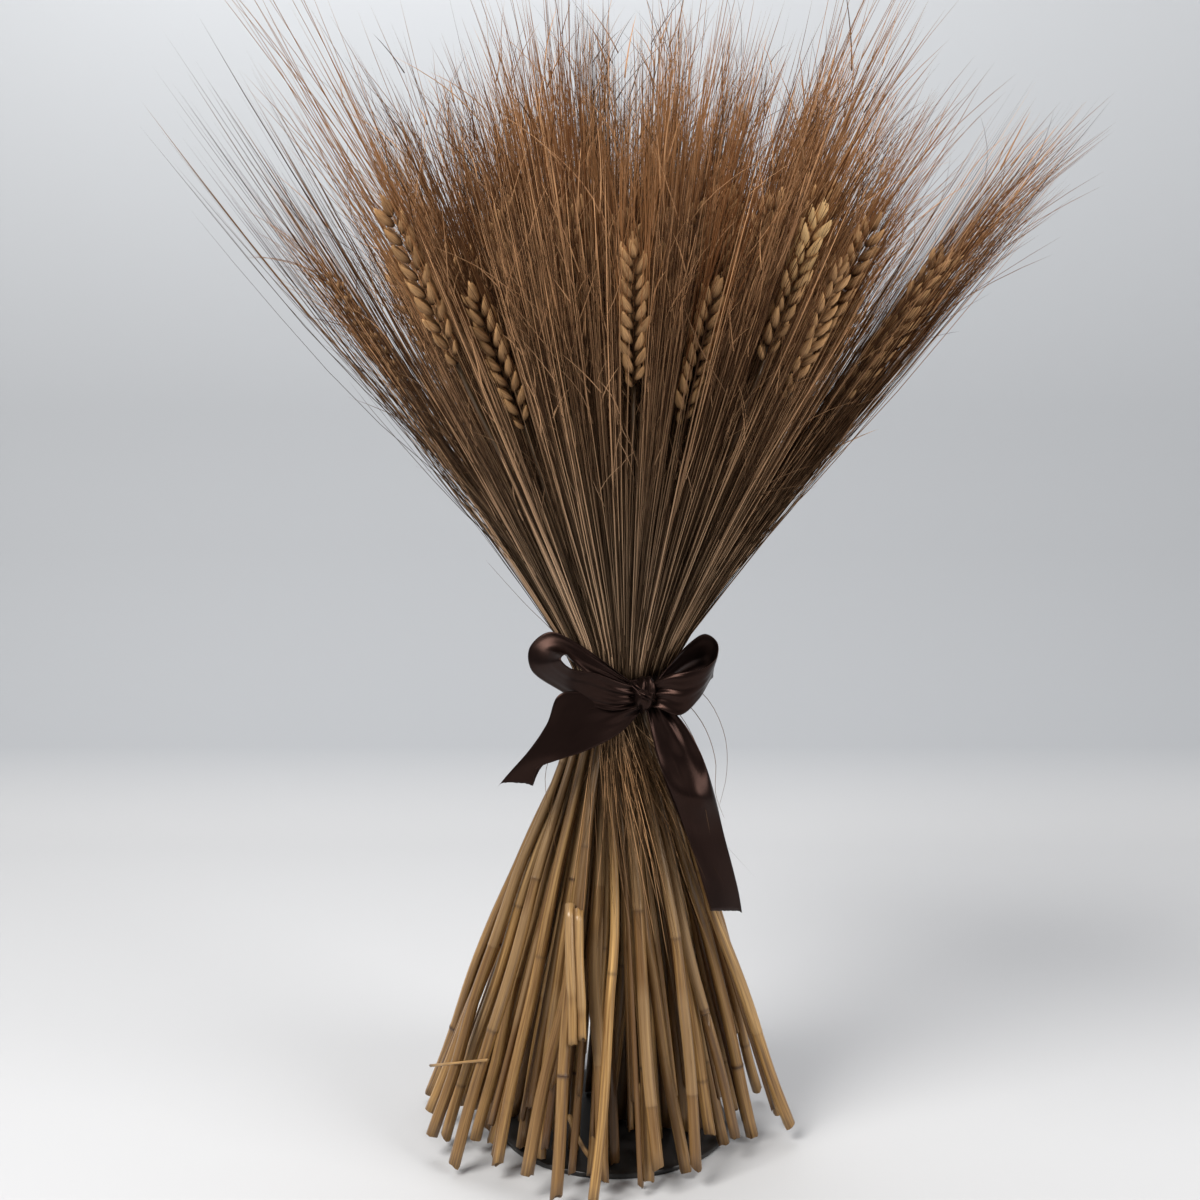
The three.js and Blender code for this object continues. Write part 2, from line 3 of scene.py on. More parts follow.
import bpy
import numpy as np
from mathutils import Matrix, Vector

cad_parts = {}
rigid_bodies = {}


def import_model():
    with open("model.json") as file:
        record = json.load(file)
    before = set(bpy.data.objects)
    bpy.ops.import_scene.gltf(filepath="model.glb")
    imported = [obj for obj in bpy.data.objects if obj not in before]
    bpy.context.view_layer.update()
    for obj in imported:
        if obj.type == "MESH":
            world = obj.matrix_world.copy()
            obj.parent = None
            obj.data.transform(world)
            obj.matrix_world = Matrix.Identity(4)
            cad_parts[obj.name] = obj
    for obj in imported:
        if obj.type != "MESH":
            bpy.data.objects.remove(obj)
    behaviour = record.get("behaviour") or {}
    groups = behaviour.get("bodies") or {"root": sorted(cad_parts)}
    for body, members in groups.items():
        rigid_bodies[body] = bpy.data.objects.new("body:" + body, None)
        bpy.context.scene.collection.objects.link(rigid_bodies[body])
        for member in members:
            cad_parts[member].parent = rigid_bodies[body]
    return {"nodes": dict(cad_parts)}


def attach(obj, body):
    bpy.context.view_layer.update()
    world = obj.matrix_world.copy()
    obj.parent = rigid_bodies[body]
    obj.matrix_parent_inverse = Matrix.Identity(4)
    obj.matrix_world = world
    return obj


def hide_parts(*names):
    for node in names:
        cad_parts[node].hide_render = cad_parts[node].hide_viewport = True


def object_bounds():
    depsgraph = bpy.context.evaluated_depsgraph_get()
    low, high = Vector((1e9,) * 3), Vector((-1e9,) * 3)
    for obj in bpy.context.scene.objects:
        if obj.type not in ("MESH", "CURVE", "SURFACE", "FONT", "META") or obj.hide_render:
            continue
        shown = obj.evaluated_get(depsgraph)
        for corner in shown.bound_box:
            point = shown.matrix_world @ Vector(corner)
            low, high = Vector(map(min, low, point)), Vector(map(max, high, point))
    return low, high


for leftover in list(bpy.data.objects):
    bpy.data.objects.remove(leftover)
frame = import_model()
cad_box = [list(corner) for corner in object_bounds()]

# ---- Camera ----
# A lens of 1300 pixels to the picture's 1200, in front of the bundle and level with the middle of
# its fan, looks 4 degrees down on it.
CAMERA_PLACE = np.array([-0.008, -0.74, 0.36])
CAMERA_DOWN = np.radians(4.1)

eye = bpy.data.cameras.new("camera")
eye.sensor_width = 36.0
eye.lens = 36.0 * 1300 / 1200
eye.clip_start = 0.01
camera = bpy.data.objects.new("camera", eye)
camera.location = CAMERA_PLACE
camera.rotation_euler = (np.pi / 2 - CAMERA_DOWN, 0.0, 0.0)
bpy.context.scene.collection.objects.link(camera)
bpy.context.scene.camera = camera

# ---- Base plate ----
# A thin round disc of black moulded plastic, 134 mm across, which lies flat on the table. The
# inner straws stand on it. Its rim is rounded, and dust and bits of chaff lie on its top.
PLATE_RADIUS = 0.067
PLATE_THICKNESS = 0.003
PLATE_ROUND = 0.0009
PLATE_SIDES = 160


def new_piece(name, parts, materials):
    """A mesh object from parts. A part is a dictionary of its points, a list of arrays of faces
    with equally many corners, its finish as a place in materials, and its attributes."""
    mesh = bpy.data.meshes.new(name)
    firsts = np.cumsum([0] + [len(part["points"]) for part in parts])
    groups = [
        (faces + first, part["finish"]) for part, first in zip(parts, firsts) for faces in part["faces"]
    ]
    points = np.concatenate([part["points"] for part in parts]).astype(np.float32)
    corners = np.concatenate([faces.ravel() for faces, _ in groups]).astype(np.int32)
    sizes = np.concatenate([np.full(len(faces), faces.shape[1]) for faces, _ in groups])
    finishes = np.concatenate([np.full(len(faces), finish) for faces, finish in groups])
    mesh.vertices.add(len(points))
    mesh.vertices.foreach_set("co", points.ravel())
    mesh.loops.add(len(corners))
    mesh.loops.foreach_set("vertex_index", corners)
    mesh.polygons.add(len(sizes))
    mesh.polygons.foreach_set("loop_start", (np.cumsum(sizes) - sizes).astype(np.int32))
    mesh.polygons.foreach_set("material_index", finishes.astype(np.int32))
    mesh.polygons.foreach_set("use_smooth", np.ones(len(sizes), bool))
    for key in parts[0]:
        if key in ("points", "faces", "finish"):
            continue
        values = np.concatenate([part[key] for part in parts]).astype(np.float32)
        kind = "FLOAT" if values.ndim == 1 else "FLOAT_VECTOR"
        attribute = mesh.attributes.new(key, kind, "POINT")
        attribute.data.foreach_set("value" if values.ndim == 1 else "vector", values.ravel())
    for material in materials:
        mesh.materials.append(material)
    mesh.update(calc_edges=True)
    mesh.validate()
    piece = bpy.data.objects.new(name, mesh)
    bpy.context.scene.collection.objects.link(piece)
    return piece


def walls_between(rings, sides):
    """The faces between each of so many rings of points and the next. Point k of a ring is joined to
    point k + 1, and to the same two of the ring above."""
    k = np.arange(sides)
    after = (k + 1) % sides
    start = np.arange(rings - 1)[:, None] * sides
    above = start + sides
    return np.stack([start + k, start + after, above + after, above + k], -1).reshape(-1, 4)


def turned(profile, sides):
    """A closed body turned about +Z. Each inner point of the profile becomes a ring at its radius
    and height, and the first and the last lie on the axis."""
    angle = np.arange(sides) * 2 * np.pi / sides
    r, z = np.array(profile[1:-1]).T
    heights = np.repeat(z[:, None], sides, 1)
    rings = np.stack([np.outer(r, np.cos(angle)), np.outer(r, np.sin(angle)), heights], -1)
    points = np.concatenate([rings.reshape(-1, 3), [[0, 0, profile[0][1]], [0, 0, profile[-1][1]]]])
    k = np.arange(sides)
    after = (k + 1) % sides
    walls = walls_between(len(r), sides)
    low, high = len(points) - 2, len(points) - 1
    last = (len(r) - 1) * sides
    under = np.stack([after, k, np.full(sides, low)], -1)
    over = np.stack([last + k, last + after, np.full(sides, high)], -1)
    return {"points": points, "faces": [walls, under, over], "finish": 0}


def new_material(name, **constants):
    """A material with one Principled shader, its node tree and its links' maker."""
    material = bpy.data.materials.new(name)
    material.use_nodes = True
    tree = material.node_tree
    shader = tree.nodes["Principled BSDF"]
    for socket, value in constants.items():
        shader.inputs[socket.replace("_", " ")].default_value = value
    return material, tree, shader


def node(tree, kind, inputs=None, **settings):
    """A shader node with its settings, and its inputs set to values or linked to sockets."""
    made = tree.nodes.new("ShaderNode" + kind)
    for key, value in settings.items():
        setattr(made, key, value)
    for key, value in (inputs or {}).items():
        if isinstance(value, bpy.types.NodeSocket):
            tree.links.new(value, made.inputs[key])
        else:
            made.inputs[key].default_value = value
    return made


def blended(tree, share, low, high):
    """The colour between two colours at a share of the way."""
    return node(tree, "Mix", {0: share, 6: low, 7: high}, data_type="RGBA").outputs[2]


def ranged(tree, value, low, high, to_low=0.0, to_high=1.0):
    """A value carried from one range to another, and held at its ends."""
    sockets = {"Value": value, "From Min": low, "From Max": high, "To Min": to_low, "To Max": to_high}
    return node(tree, "MapRange", sockets).outputs["Result"]


def noise(tree, vector, scale, detail=2.0, roughness=0.5):
    """A noise value over a surface."""
    sockets = {"Vector": vector, "Scale": scale, "Detail": detail, "Roughness": roughness}
    return node(tree, "TexNoise", sockets).outputs["Fac"]


def dust_group():
    """A node group: a thin film of dust and loose specks, as a mask, over a pattern's place."""
    tree = bpy.data.node_groups.new("Dust and specks", "ShaderNodeTree")
    for name, kind, way in (
        ("Place", "NodeSocketVector", "INPUT"),
        ("Film", "NodeSocketFloat", "INPUT"),
        ("Speck size", "NodeSocketFloat", "INPUT"),
        ("Mask", "NodeSocketFloat", "OUTPUT"),
    ):
        tree.interface.new_socket(name, in_out=way, socket_type=kind)
    given = tree.nodes.new("NodeGroupInput")
    result = tree.nodes.new("NodeGroupOutput")
    cloud = noise(tree, given.outputs["Place"], 38.0, 4.0)
    film = node(tree, "Math", {0: cloud, 1: given.outputs["Film"]}, operation="MULTIPLY").outputs[0]
    size = given.outputs["Speck size"]
    per_metre = node(tree, "Math", {0: 1.0, 1: size}, operation="DIVIDE").outputs[0]
    cells = node(tree, "TexVoronoi", {"Vector": given.outputs["Place"], "Scale": per_metre})
    near = ranged(tree, cells.outputs["Distance"], 0.16, 0.1)
    tone = node(tree, "SeparateColor", {0: cells.outputs["Color"]}).outputs[0]
    chosen = ranged(tree, tone, 0.86, 0.88)  # about one cell in seven holds a speck
    speck = node(tree, "Math", {0: near, 1: chosen}, operation="MULTIPLY").outputs[0]
    both = node(tree, "Math", {0: film, 1: speck}, operation="MAXIMUM").outputs[0]
    tree.links.new(both, result.inputs["Mask"])
    return tree


dust = dust_group()
black_plastic, tree, shader = new_material("Black moulded plastic", IOR=1.5)
place = node(tree, "TexCoord").outputs["Object"]
dusting = node(tree, "Group", node_tree=dust)
tree.links.new(place, dusting.inputs["Place"])
dusting.inputs["Film"].default_value = 0.16
dusting.inputs["Speck size"].default_value = 0.0022
mask = dusting.outputs["Mask"]
colour = blended(tree, mask, (0.006, 0.0055, 0.006, 1), (0.16, 0.14, 0.12, 1))
tree.links.new(colour, shader.inputs["Base Color"])
tree.links.new(ranged(tree, mask, 0.0, 0.6, 0.33, 0.8), shader.inputs["Roughness"])
grain = noise(tree, place, 1800.0, 1.0)
bump = node(tree, "Bump", {"Height": grain, "Distance": 0.00005, "Strength": 0.5})
tree.links.new(bump.outputs[0], shader.inputs["Normal"])

half = PLATE_THICKNESS / 2
rim = [
    (PLATE_RADIUS - PLATE_ROUND + PLATE_ROUND * np.cos(bend), half + half * np.sin(bend))
    for bend in np.linspace(-np.pi / 2, np.pi / 2, 9)
]
top = [(radius, PLATE_THICKNESS) for radius in (PLATE_RADIUS - 0.004, 0.03, 0.0)]
profile = [(0.0, 0.0), (0.03, 0.0), *rim, *top]
plate = new_piece("round_base_plate", [turned(profile, PLATE_SIDES)], [black_plastic])
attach(plate, "root")
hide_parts("base_plate")

# ---- Straws ----
# 84 dried wheat straws: hollow round stems with a cut foot, brown joints and a loose leaf sheath
# above each joint. They are gathered at the tie, and spread from it down to their feet and up.
TIE_Z = 0.256
TIE_HALF = 0.013
KNEE_Z = 0.125
STRAW_SIDES = 10
NECK_RADIUS = 0.00125
TIE_RADIUS = 0.00205
WALL = 0.62  # the hollow's radius against the straw's
JOINT_LENGTH = 0.0011
SHEATH_THICKNESS = 0.00014
CUT_DEEP = 0.006  # how deep the hollow is modelled at a cut foot
TOP_DEEP = 0.004
BELOW_TIE = (0.222, 0.232)  # heights at which a node is cut level into its two stalks
ABOVE_TIE = (0.277, 0.289)


def unit(vectors):
    return vectors / np.linalg.norm(vectors, axis=-1, keepdims=True)


def outlines(corners, height):
    """The closed outlines in which a level plane cuts a mesh of triangles, as (area, x, y) each.

    An edge crosses the level at low + (high - low) * (height - low_z) / (high_z - low_z). The
    area is half the sum of neighbours' cross products, and the middle is weighted by them."""
    above = corners[:, :, 2] > height
    count = above.sum(1)
    found = {}
    for lone, flip in ((1, False), (2, True)):
        chosen = corners[count == lone]
        odd = (above if lone == 1 else ~above)[count == lone].argmax(1)
        row = np.arange(len(chosen))
        apex, second, third = (chosen[row, (odd + k) % 3] for k in range(3))
        ends = []
        for other in (second, third):
            low, high = np.where((apex[:, 2] < other[:, 2])[:, None], [apex, other], [other, apex])
            share = ((height - low[:, 2]) / (high[:, 2] - low[:, 2]))[:, None]
            ends.append((low + (high - low) * share)[:, :2])
        if flip:
            ends.reverse()
        found.update({tuple(a): tuple(b) for a, b in zip(*ends)})
    rings = []
    while found:
        at, ahead = found.popitem()
        ring = [at]
        while ahead in found:
            ring.append(ahead)
            ahead = found.pop(ahead)
        a = np.array(ring) - ring[0]
        b = np.roll(a, -1, 0)
        cross = a[:, 0] * b[:, 1] - a[:, 1] * b[:, 0]
        if abs(cross.sum()) > 1e-9:
            middle = ((a + b) * cross[:, None]).sum(0) / (3 * cross.sum()) + ring[0]
            rings.append((abs(cross.sum()) / 2, *middle))
    return rings


def two_lines(corners, low, high):
    """The two stalks of a node as straight lines: for each its place at a low and a high level."""
    levels = []
    for height in (low, high):
        largest = sorted(outlines(corners, height))[-2:]
        levels.append(np.array([[x, y, height] for _, x, y in largest]))
    first, second = levels
    if (first[1] - first[0]) @ (second[1] - second[0]) < 0:
        second = second[::-1]
    return np.stack([first, second], 1)


def at_level(line, height):
    return line[0] + (line[1] - line[0]) * (height - line[0][2]) / (line[1][2] - line[0][2])


def read_stalks(name):
    """The two stalks of a CAD node: each one's five knots from its foot to its neck, the radius of
    its foot, and the ear's tip. A knot is where four of the node's corners are level round it."""
    mesh = frame["nodes"][name].data
    mesh.calc_loop_triangles()
    indices = np.zeros(len(mesh.loop_triangles) * 3, np.int32)
    mesh.loop_triangles.foreach_get("vertices", indices)
    points = np.zeros(len(mesh.vertices) * 3, np.float32)
    mesh.vertices.foreach_get("co", points)
    points = points.reshape(-1, 3).astype(float)
    corners = points[indices].reshape(-1, 3, 3)
    lower = two_lines(corners, *BELOW_TIE)
    upper = two_lines(corners, *ABOVE_TIE)
    if (lower[1, 1] - lower[0, 1]) @ (upper[1, 0] - upper[0, 0]) < 0:
        upper = upper[::-1]
    stalks = []
    for below, over in zip(lower, upper):
        knee = at_level(below, KNEE_Z)
        legs = two_lines(corners, KNEE_Z - 0.006, KNEE_Z - 0.001)
        leg = min(legs, key=lambda line: np.linalg.norm(at_level(line, KNEE_Z) - knee))
        low_corners = points[points[:, 2] < KNEE_Z - 0.01]
        away = [np.hypot(*(p - at_level(leg, p[2]))[:2]) for p in low_corners]
        near = low_corners[np.array(away) < 0.0045]
        foot_z = near[:, 2].min()
        foot = at_level(leg, foot_z)
        foot_radius = np.hypot(*(near[near[:, 2] < foot_z + 1e-6] - foot)[:, :2].T).mean()
        high = points[(points[:, 2] > 0.37) & (points[:, 2] < 0.49)]
        away = np.array([np.hypot(*(p - at_level(over, p[2]))[:2]) for p in high])
        ring = np.round(high[abs(away - NECK_RADIUS) < 4e-5][:, 2], 6)
        levels, counts = np.unique(ring, return_counts=True)
        neck = at_level(over, levels[counts.argmax()])
        middles, way = [], unit(over[1] - over[0])
        for rise in np.arange(0.004, 0.09, 0.004):
            guess = neck + way * rise / way[2]
            cuts = [
                (np.hypot(x - guess[0], y - guess[1]), x, y)
                for area, x, y in outlines(corners, guess[2])
                if area > 8e-6
            ]
            aside, x, y = min(cuts, default=(1.0, 0.0, 0.0))
            if aside >= 0.006:
                break
            middles.append([x, y, guess[2]])
            if len(middles) > 3:
                way = unit(np.mean(middles[1:], 0) - neck)
        tip = neck + way * (middles[-1][2] + 0.005 - neck[2]) / way[2]
        knots = [foot, knee, at_level(below, TIE_Z - TIE_HALF), at_level(over, TIE_Z + TIE_HALF), neck]
        stalks.append((knots, foot_radius, tip))
    return stalks


stalk_nodes = sorted(name for name in frame["nodes"] if name.startswith("stalks_"))
stalks = [stalk for name in stalk_nodes for stalk in read_stalks(name)]
knots = np.array([stalk[0] for stalk in stalks])
foot_radii = np.array([stalk[1] for stalk in stalks])
ear_tips = np.array([stalk[2] for stalk in stalks])
tie_middle = np.array([0.004, 0.0, 0.0])


def ring_points(paths, radii, sides, across=None, squash=1.0, ways=None):
    """Rings of points round many paths at once, as (paths, rings, sides, 3): at each point of a
    path, path + radius * (side * cos(angle) + squash * other * sin(angle)). The two directions are
    square to the path, and the first of them to across as well."""
    ways = unit(np.gradient(paths, axis=1) if ways is None else ways)
    across = np.array([0.0, 1.0, 0.0]) if across is None else across[:, None]
    side = unit(np.cross(ways, across))
    other = np.cross(ways, side)
    angle = (np.arange(sides) * 2 * np.pi / sides)[:, None]
    reach = side[:, :, None] * np.cos(angle) + squash * other[:, :, None] * np.sin(angle)
    return paths[:, :, None] + radii[:, :, None, None] * reach


def closed(rings):
    """What tubes hold at each ring's points, as one row for each point of their mesh: the last
    ring of a tube becomes one value, the mean of its points'."""
    count = len(rings)
    ends = rings[:, -1].mean(1)[:, None]
    flat = rings[:, :-1].reshape(count, -1, *rings.shape[3:])
    return np.concatenate([flat, ends], 1).reshape(-1, *rings.shape[3:])


def tube_faces(count, length, sides):
    """The faces of tubes of so many rings: walls, a pointed last end and a flat first end."""
    k = np.arange(sides)
    after = (k + 1) % sides
    last = (length - 2) * sides
    walls = walls_between(length - 1, sides)
    point = np.stack([last + k, last + after, np.full(sides, last + sides)], -1)
    first = np.arange(count)[:, None, None] * (last + sides + 1)
    return [(first + part).reshape(-1, part.shape[1]) for part in (walls, point, k[None, ::-1])]


def tubes(rings, finish, **values):
    """A part made of tubes. Each value is given for each tube, each ring of it or each point."""
    count, length, sides, _ = rings.shape
    part = {"points": closed(rings), "faces": tube_faces(count, length, sides), "finish": finish}
    for key, value in values.items():
        wide = np.asarray(value, float)
        while wide.ndim < 3:
            wide = wide[..., None]
        if wide.ndim == 3:
            part[key] = closed(np.broadcast_to(wide, (count, length, sides)))
        else:
            part[key] = closed(np.broadcast_to(wide, (count, length, sides, 3)))
    return part


chance = np.random.default_rng(11)
count = len(knots)
spans = np.linalg.norm(np.diff(knots, axis=1), axis=2)
knot_at = np.concatenate([np.zeros((count, 1)), np.cumsum(spans, 1)], 1)
lengths = knot_at[:, -1]
lowest = chance.uniform(0.03, 0.12, count)
joints = [lowest, lowest + chance.uniform(0.07, 0.12, count), chance.uniform(0.27, 0.36, count)]
joints = np.stack(joints, 1)
near_joint = np.array([-2.2, -1.2, -0.6, 0.0, 0.6, 1.2, 2.2]) * JOINT_LENGTH
even = np.linspace(0, 1, 42) * lengths[:, None]
ring_at = np.sort(np.concatenate([even, (joints[:, :, None] + near_joint).reshape(count, -1)], 1), 1)
window = np.minimum(0.012, np.minimum(ring_at, lengths[:, None] - ring_at))
steps = np.linspace(-1, 1, 7)
paths = np.empty((*ring_at.shape, 3))
radii = np.empty(ring_at.shape)
for i in range(count):
    reached = ring_at[i][:, None] + window[i][:, None] * steps
    for axis in range(3):
        paths[i, :, axis] = np.interp(reached, knot_at[i], knots[i, :, axis]).mean(1)
    knot_radii = [foot_radii[i], 0.92 * foot_radii[i], TIE_RADIUS, TIE_RADIUS, NECK_RADIUS]
    radii[i] = np.interp(reached, knot_at[i], knot_radii).mean(1)
radii *= 0.96
free = np.clip((abs(paths[:, :, 2] - TIE_Z) - 0.02) / 0.08, 0, 1)  # none at the tie and the neck
free *= np.clip((lengths[:, None] - ring_at) / 0.04, 0, 1)
for axis in range(2):
    turns = ring_at / chance.uniform(0.08, 0.16, (count, 1)) + chance.uniform(0, 1, (count, 1))
    paths[:, :, axis] += free * 0.0007 * np.sin(2 * np.pi * turns)
to_joint = ring_at[:, :, None] - joints[:, None]
joint_strength = chance.choice([0.15, 0.5, 1.0], (count, 1, 3), p=[0.35, 0.3, 0.35])
joint_mark = (joint_strength * np.exp(-((to_joint / JOINT_LENGTH) ** 2))).max(2)
sheath_length = chance.uniform(0.03, 0.09, (count, 1, 3))
in_sheath = ((to_joint > 0) & (to_joint < sheath_length)).any(2) * (chance.random((count, 1)) < 0.7)
radii = radii * (1 + 0.1 * joint_mark) + SHEATH_THICKNESS * in_sheath


def hollow_straws(paths, radii, at, mark, sheath, tint, chance):
    """The rings and the values of straws that are cut at both ends: a ring deep inside the foot,
    the hollow's rim and the outer rim, the straw's outside, and a point sunk in its top end. The
    rims are jagged and slanted, by slant * cos(angle) and a chance height."""
    number = len(paths)
    ways = np.gradient(paths, axis=1)
    foot_way, top_way = unit(ways[:, :1]), unit(ways[:, -1:])
    inside, sunk = paths[:, :1] + foot_way * CUT_DEEP, paths[:, -1:] - top_way * TOP_DEEP
    paths = np.concatenate([inside, paths[:, :1], paths, sunk], 1)
    ways = np.concatenate([foot_way, foot_way, ways, top_way], 1)
    hollow = WALL * radii[:, :1]
    radii = np.concatenate([hollow, hollow, radii, radii[:, -1:]], 1)
    at = np.concatenate([at[:, :1] + CUT_DEEP, at[:, :1], at, at[:, -1:]], 1)
    rings = ring_points(paths, radii, STRAW_SIDES, ways=ways)
    angle = np.arange(STRAW_SIDES) * 2 * np.pi / STRAW_SIDES
    for rim, way, most in ((slice(1, 3), foot_way, 0.0022), (slice(-2, -1), top_way, 0.0009)):
        slant = chance.uniform(0, most, (number, 1))
        slant = slant * np.cos(angle + chance.uniform(0, 6.3, (number, 1)))
        jag = slant + chance.normal(0, 0.0005, (number, STRAW_SIDES))
        jag -= jag.min(1)[:, None]
        rings[:, rim] += jag[:, None, :, None] * way[:, :, None]
    round_place = np.stack([np.cos(angle), np.sin(angle), 0 * angle], -1)
    fibre = radii[:, :, None, None] * round_place + at[:, :, None, None] * np.array([0, 0, 0.025])
    fibre = fibre + chance.uniform(0, 3, (number, 1, 1, 3))
    # Painted shade: the hollow inside each cut end, and the sunk point in the top, get half the joints'
    # dark mark.
    cut = np.full((number, 2), 0.5)
    return rings, {
        "along": at,
        "tint": tint,
        "mark": np.concatenate([cut, mark, cut[:, :1]], 1),
        "sheath": np.concatenate([sheath[:, :2], sheath, sheath[:, -1:]], 1),
        "fibre": fibre,
    }


# Each straw's tint is a random tone plus painted shade: the nearer its foot lies to the middle, the
# darker it is painted, for the shade inside the bundle.
foot_out = np.linalg.norm(knots[:, 0, :2], axis=1)
straw_tone_and_shade = 0.75 * chance.random(count) + 0.9 * (1 - foot_out / foot_out.max())
straw_rings, values = hollow_straws(
    paths, radii, ring_at, joint_mark, in_sheath.astype(float), straw_tone_and_shade, chance
)
straws = [
    tubes(straw_rings[i : i + 1], 0, **{key: value[i : i + 1] for key, value in values.items()})
    for i in range(count)
]

straw, tree, shader = new_material(
    "Dried straw", IOR=1.45, Specular_IOR_Level=0.8, Specular_Tint=(1.0, 0.92, 0.82, 1)
)


def given(tree, name, vector=False):
    """An attribute of the piece, as a value or as a vector."""
    made = node(tree, "Attribute", attribute_name=name)
    return made.outputs["Vector" if vector else "Fac"]


def times(tree, a, b):
    return node(tree, "Math", {0: a, 1: b}, operation="MULTIPLY").outputs[0]


def fibres_group():
    """A node group: long dry fibres along a stem, as a value, and their ridges as a normal."""
    tree = bpy.data.node_groups.new("Dry fibres", "ShaderNodeTree")
    for name, kind, way in (
        ("Place", "NodeSocketVector", "INPUT"),
        ("Fineness", "NodeSocketFloat", "INPUT"),
        ("Ridge", "NodeSocketFloat", "INPUT"),
        ("Value", "NodeSocketFloat", "OUTPUT"),
        ("Normal", "NodeSocketVector", "OUTPUT"),
    ):
        tree.interface.new_socket(name, in_out=way, socket_type=kind)
    entry = tree.nodes.new("NodeGroupInput")
    result = tree.nodes.new("NodeGroupOutput")
    streaks = noise(tree, entry.outputs["Place"], entry.outputs["Fineness"], 3.0, 0.65)
    bump = node(tree, "Bump", {"Height": streaks, "Distance": entry.outputs["Ridge"], "Strength": 0.8})
    tree.links.new(ranged(tree, streaks, 0.3, 0.7), result.inputs["Value"])
    tree.links.new(bump.outputs[0], result.inputs["Normal"])
    return tree


fibres = fibres_group()


def fibred(tree, place, fineness, ridge):
    return node(tree, "Group", {"Place": place, "Fineness": fineness, "Ridge": ridge}, node_tree=fibres)


place = given(tree, "fibre", True)
streaks = fibred(tree, place, 750.0, 0.0004)
tree.links.new(streaks.outputs["Normal"], shader.inputs["Normal"])
bands = noise(tree, place, 420.0, 2.0, 0.6)
colour = blended(tree, streaks.outputs["Value"], (0.15, 0.07, 0.021, 1), (0.61, 0.36, 0.125, 1))
colour = blended(tree, ranged(tree, bands, 0.42, 0.68, 0.0, 0.75), colour, (0.15, 0.075, 0.028, 1))
# The tint darkens the straw towards dull brown: partly a random tone, partly painted shade for the
# inner straws and the thin ones.
dulled_and_shaded = ranged(tree, given(tree, "tint"), 0.25, 1.3, 0.0, 0.95)
colour = blended(tree, dulled_and_shaded, colour, (0.085, 0.038, 0.014, 1))
colour = blended(tree, times(tree, given(tree, "sheath"), 0.18), colour, (0.55, 0.38, 0.2, 1))
# Painted shade: the straws are darkened from 12 cm along their length towards the tie and above it.
upper = ranged(tree, given(tree, "along"), 0.12, 0.24, 0.0, 0.88)
colour = blended(tree, upper, colour, (0.06, 0.034, 0.016, 1))
stains = noise(tree, place, 300.0, 3.0, 0.6)
colour = blended(tree, ranged(tree, stains, 0.58, 0.72, 0.0, 0.8), colour, (0.07, 0.033, 0.015, 1))
colour = blended(tree, given(tree, "mark"), colour, (0.05, 0.022, 0.01, 1))
tree.links.new(colour, shader.inputs["Base Color"])
tree.links.new(ranged(tree, streaks.outputs["Value"], 0.0, 1.0, 0.26, 0.5), shader.inputs["Roughness"])

# ---- Ears ----
# Each straw ends in an ear of two rows of spikelets, set in turn left and right like a plait. A
# spikelet is three husks with a grain each, dry and papery, round which the light shows the ribs.
SPIKELETS = 18
HUSK_LENGTH = 0.0128
HUSK_HALF_WIDTH = 0.00255
HUSK_SIDES = 7
SHOWN_EARS = [53, 62, 72, 79, 82, 83]  # those in front that few strands hide; they face the front

chance = np.random.default_rng(23)
necks = knots[:, -1]
ear_ways = unit(ear_tips - necks)
ear_lengths = np.linalg.norm(ear_tips - necks, axis=1)
outward = (ear_tips - tie_middle) * np.array([1.0, 1.0, 0.0])
lean = np.linalg.norm(outward, axis=1)
outward = unit(outward)
facing = outward + chance.normal(0, 0.45, (count, 3))
facing[SHOWN_EARS] = [0.0, -1.0, 0.1]
rows = unit(np.cross(ear_ways, facing))
fronts = np.cross(rows, ear_ways)
j = np.arange(SPIKELETS)
side = np.where(j % 2, 1.0, -1.0)
side[-1] = 0.0
share = j / SPIKELETS
plump = 0.62 + 0.42 * np.sin(np.pi * (0.1 + 0.78 * share)) ** 0.7
plump[:2] *= 0.8
turns = np.array([-1.0, 1.0, 0.0])


def per_husk(values):
    """One row for each husk of each spikelet of each ear, from values of matching dimensions."""
    return np.broadcast_to(values, (count, SPIKELETS, 3, 3)).reshape(-1, 3)


along_ear = ear_ways[:, None, None]
row_way = rows[:, None, None]
front_way = fronts[:, None, None]
swing = 0.4 * side[None, :, None, None]
lift = (turns * 0.36)[None, None, :, None]
jitter = chance.normal(0, 0.09, (count, SPIKELETS, 3, 3))
husk_ways = unit(per_husk(along_ear + row_way * swing + front_way * lift + jitter))
rise = (ear_lengths[:, None] * (0.01 + 0.93 * share))[:, :, None, None]
foot_aside = side[:, None, None] * 0.0011 * plump[:, None, None]
husk_feet = per_husk(
    necks[:, None, None]
    + along_ear * (rise + (turns == 0)[:, None] * 0.0012)
    + row_way * foot_aside
    + front_way * (turns[:, None] * 0.0013)
)
size = np.broadcast_to(plump[None, :, None] * (1 - 0.12 * (turns == 0)), (count, SPIKELETS, 3)).ravel()
slender = np.where(abs(ear_tips[:, 0] - 0.02) > 0.16, 0.42, 1.0)
size = size * chance.normal(1, 0.09, len(size)) * np.repeat(slender, SPIKELETS * 3)
t = np.array([0.0, 0.16, 0.36, 0.6, 0.84, 1.0])
girth = np.array([0.4, 0.86, 1.02, 0.88, 0.42, 0.0])
husk_out = row_way * side[None, :, None, None] + front_way * (turns * 1.1)[None, None, :, None]
husk_out = unit(per_husk(husk_out + 1e-4))
husk_paths = (
    husk_feet[:, None]
    + husk_ways[:, None] * (HUSK_LENGTH * size[:, None] * t)[:, :, None]
    + husk_out[:, None] * (0.0011 * size[:, None] * np.sin(np.pi * t))[:, :, None]
)
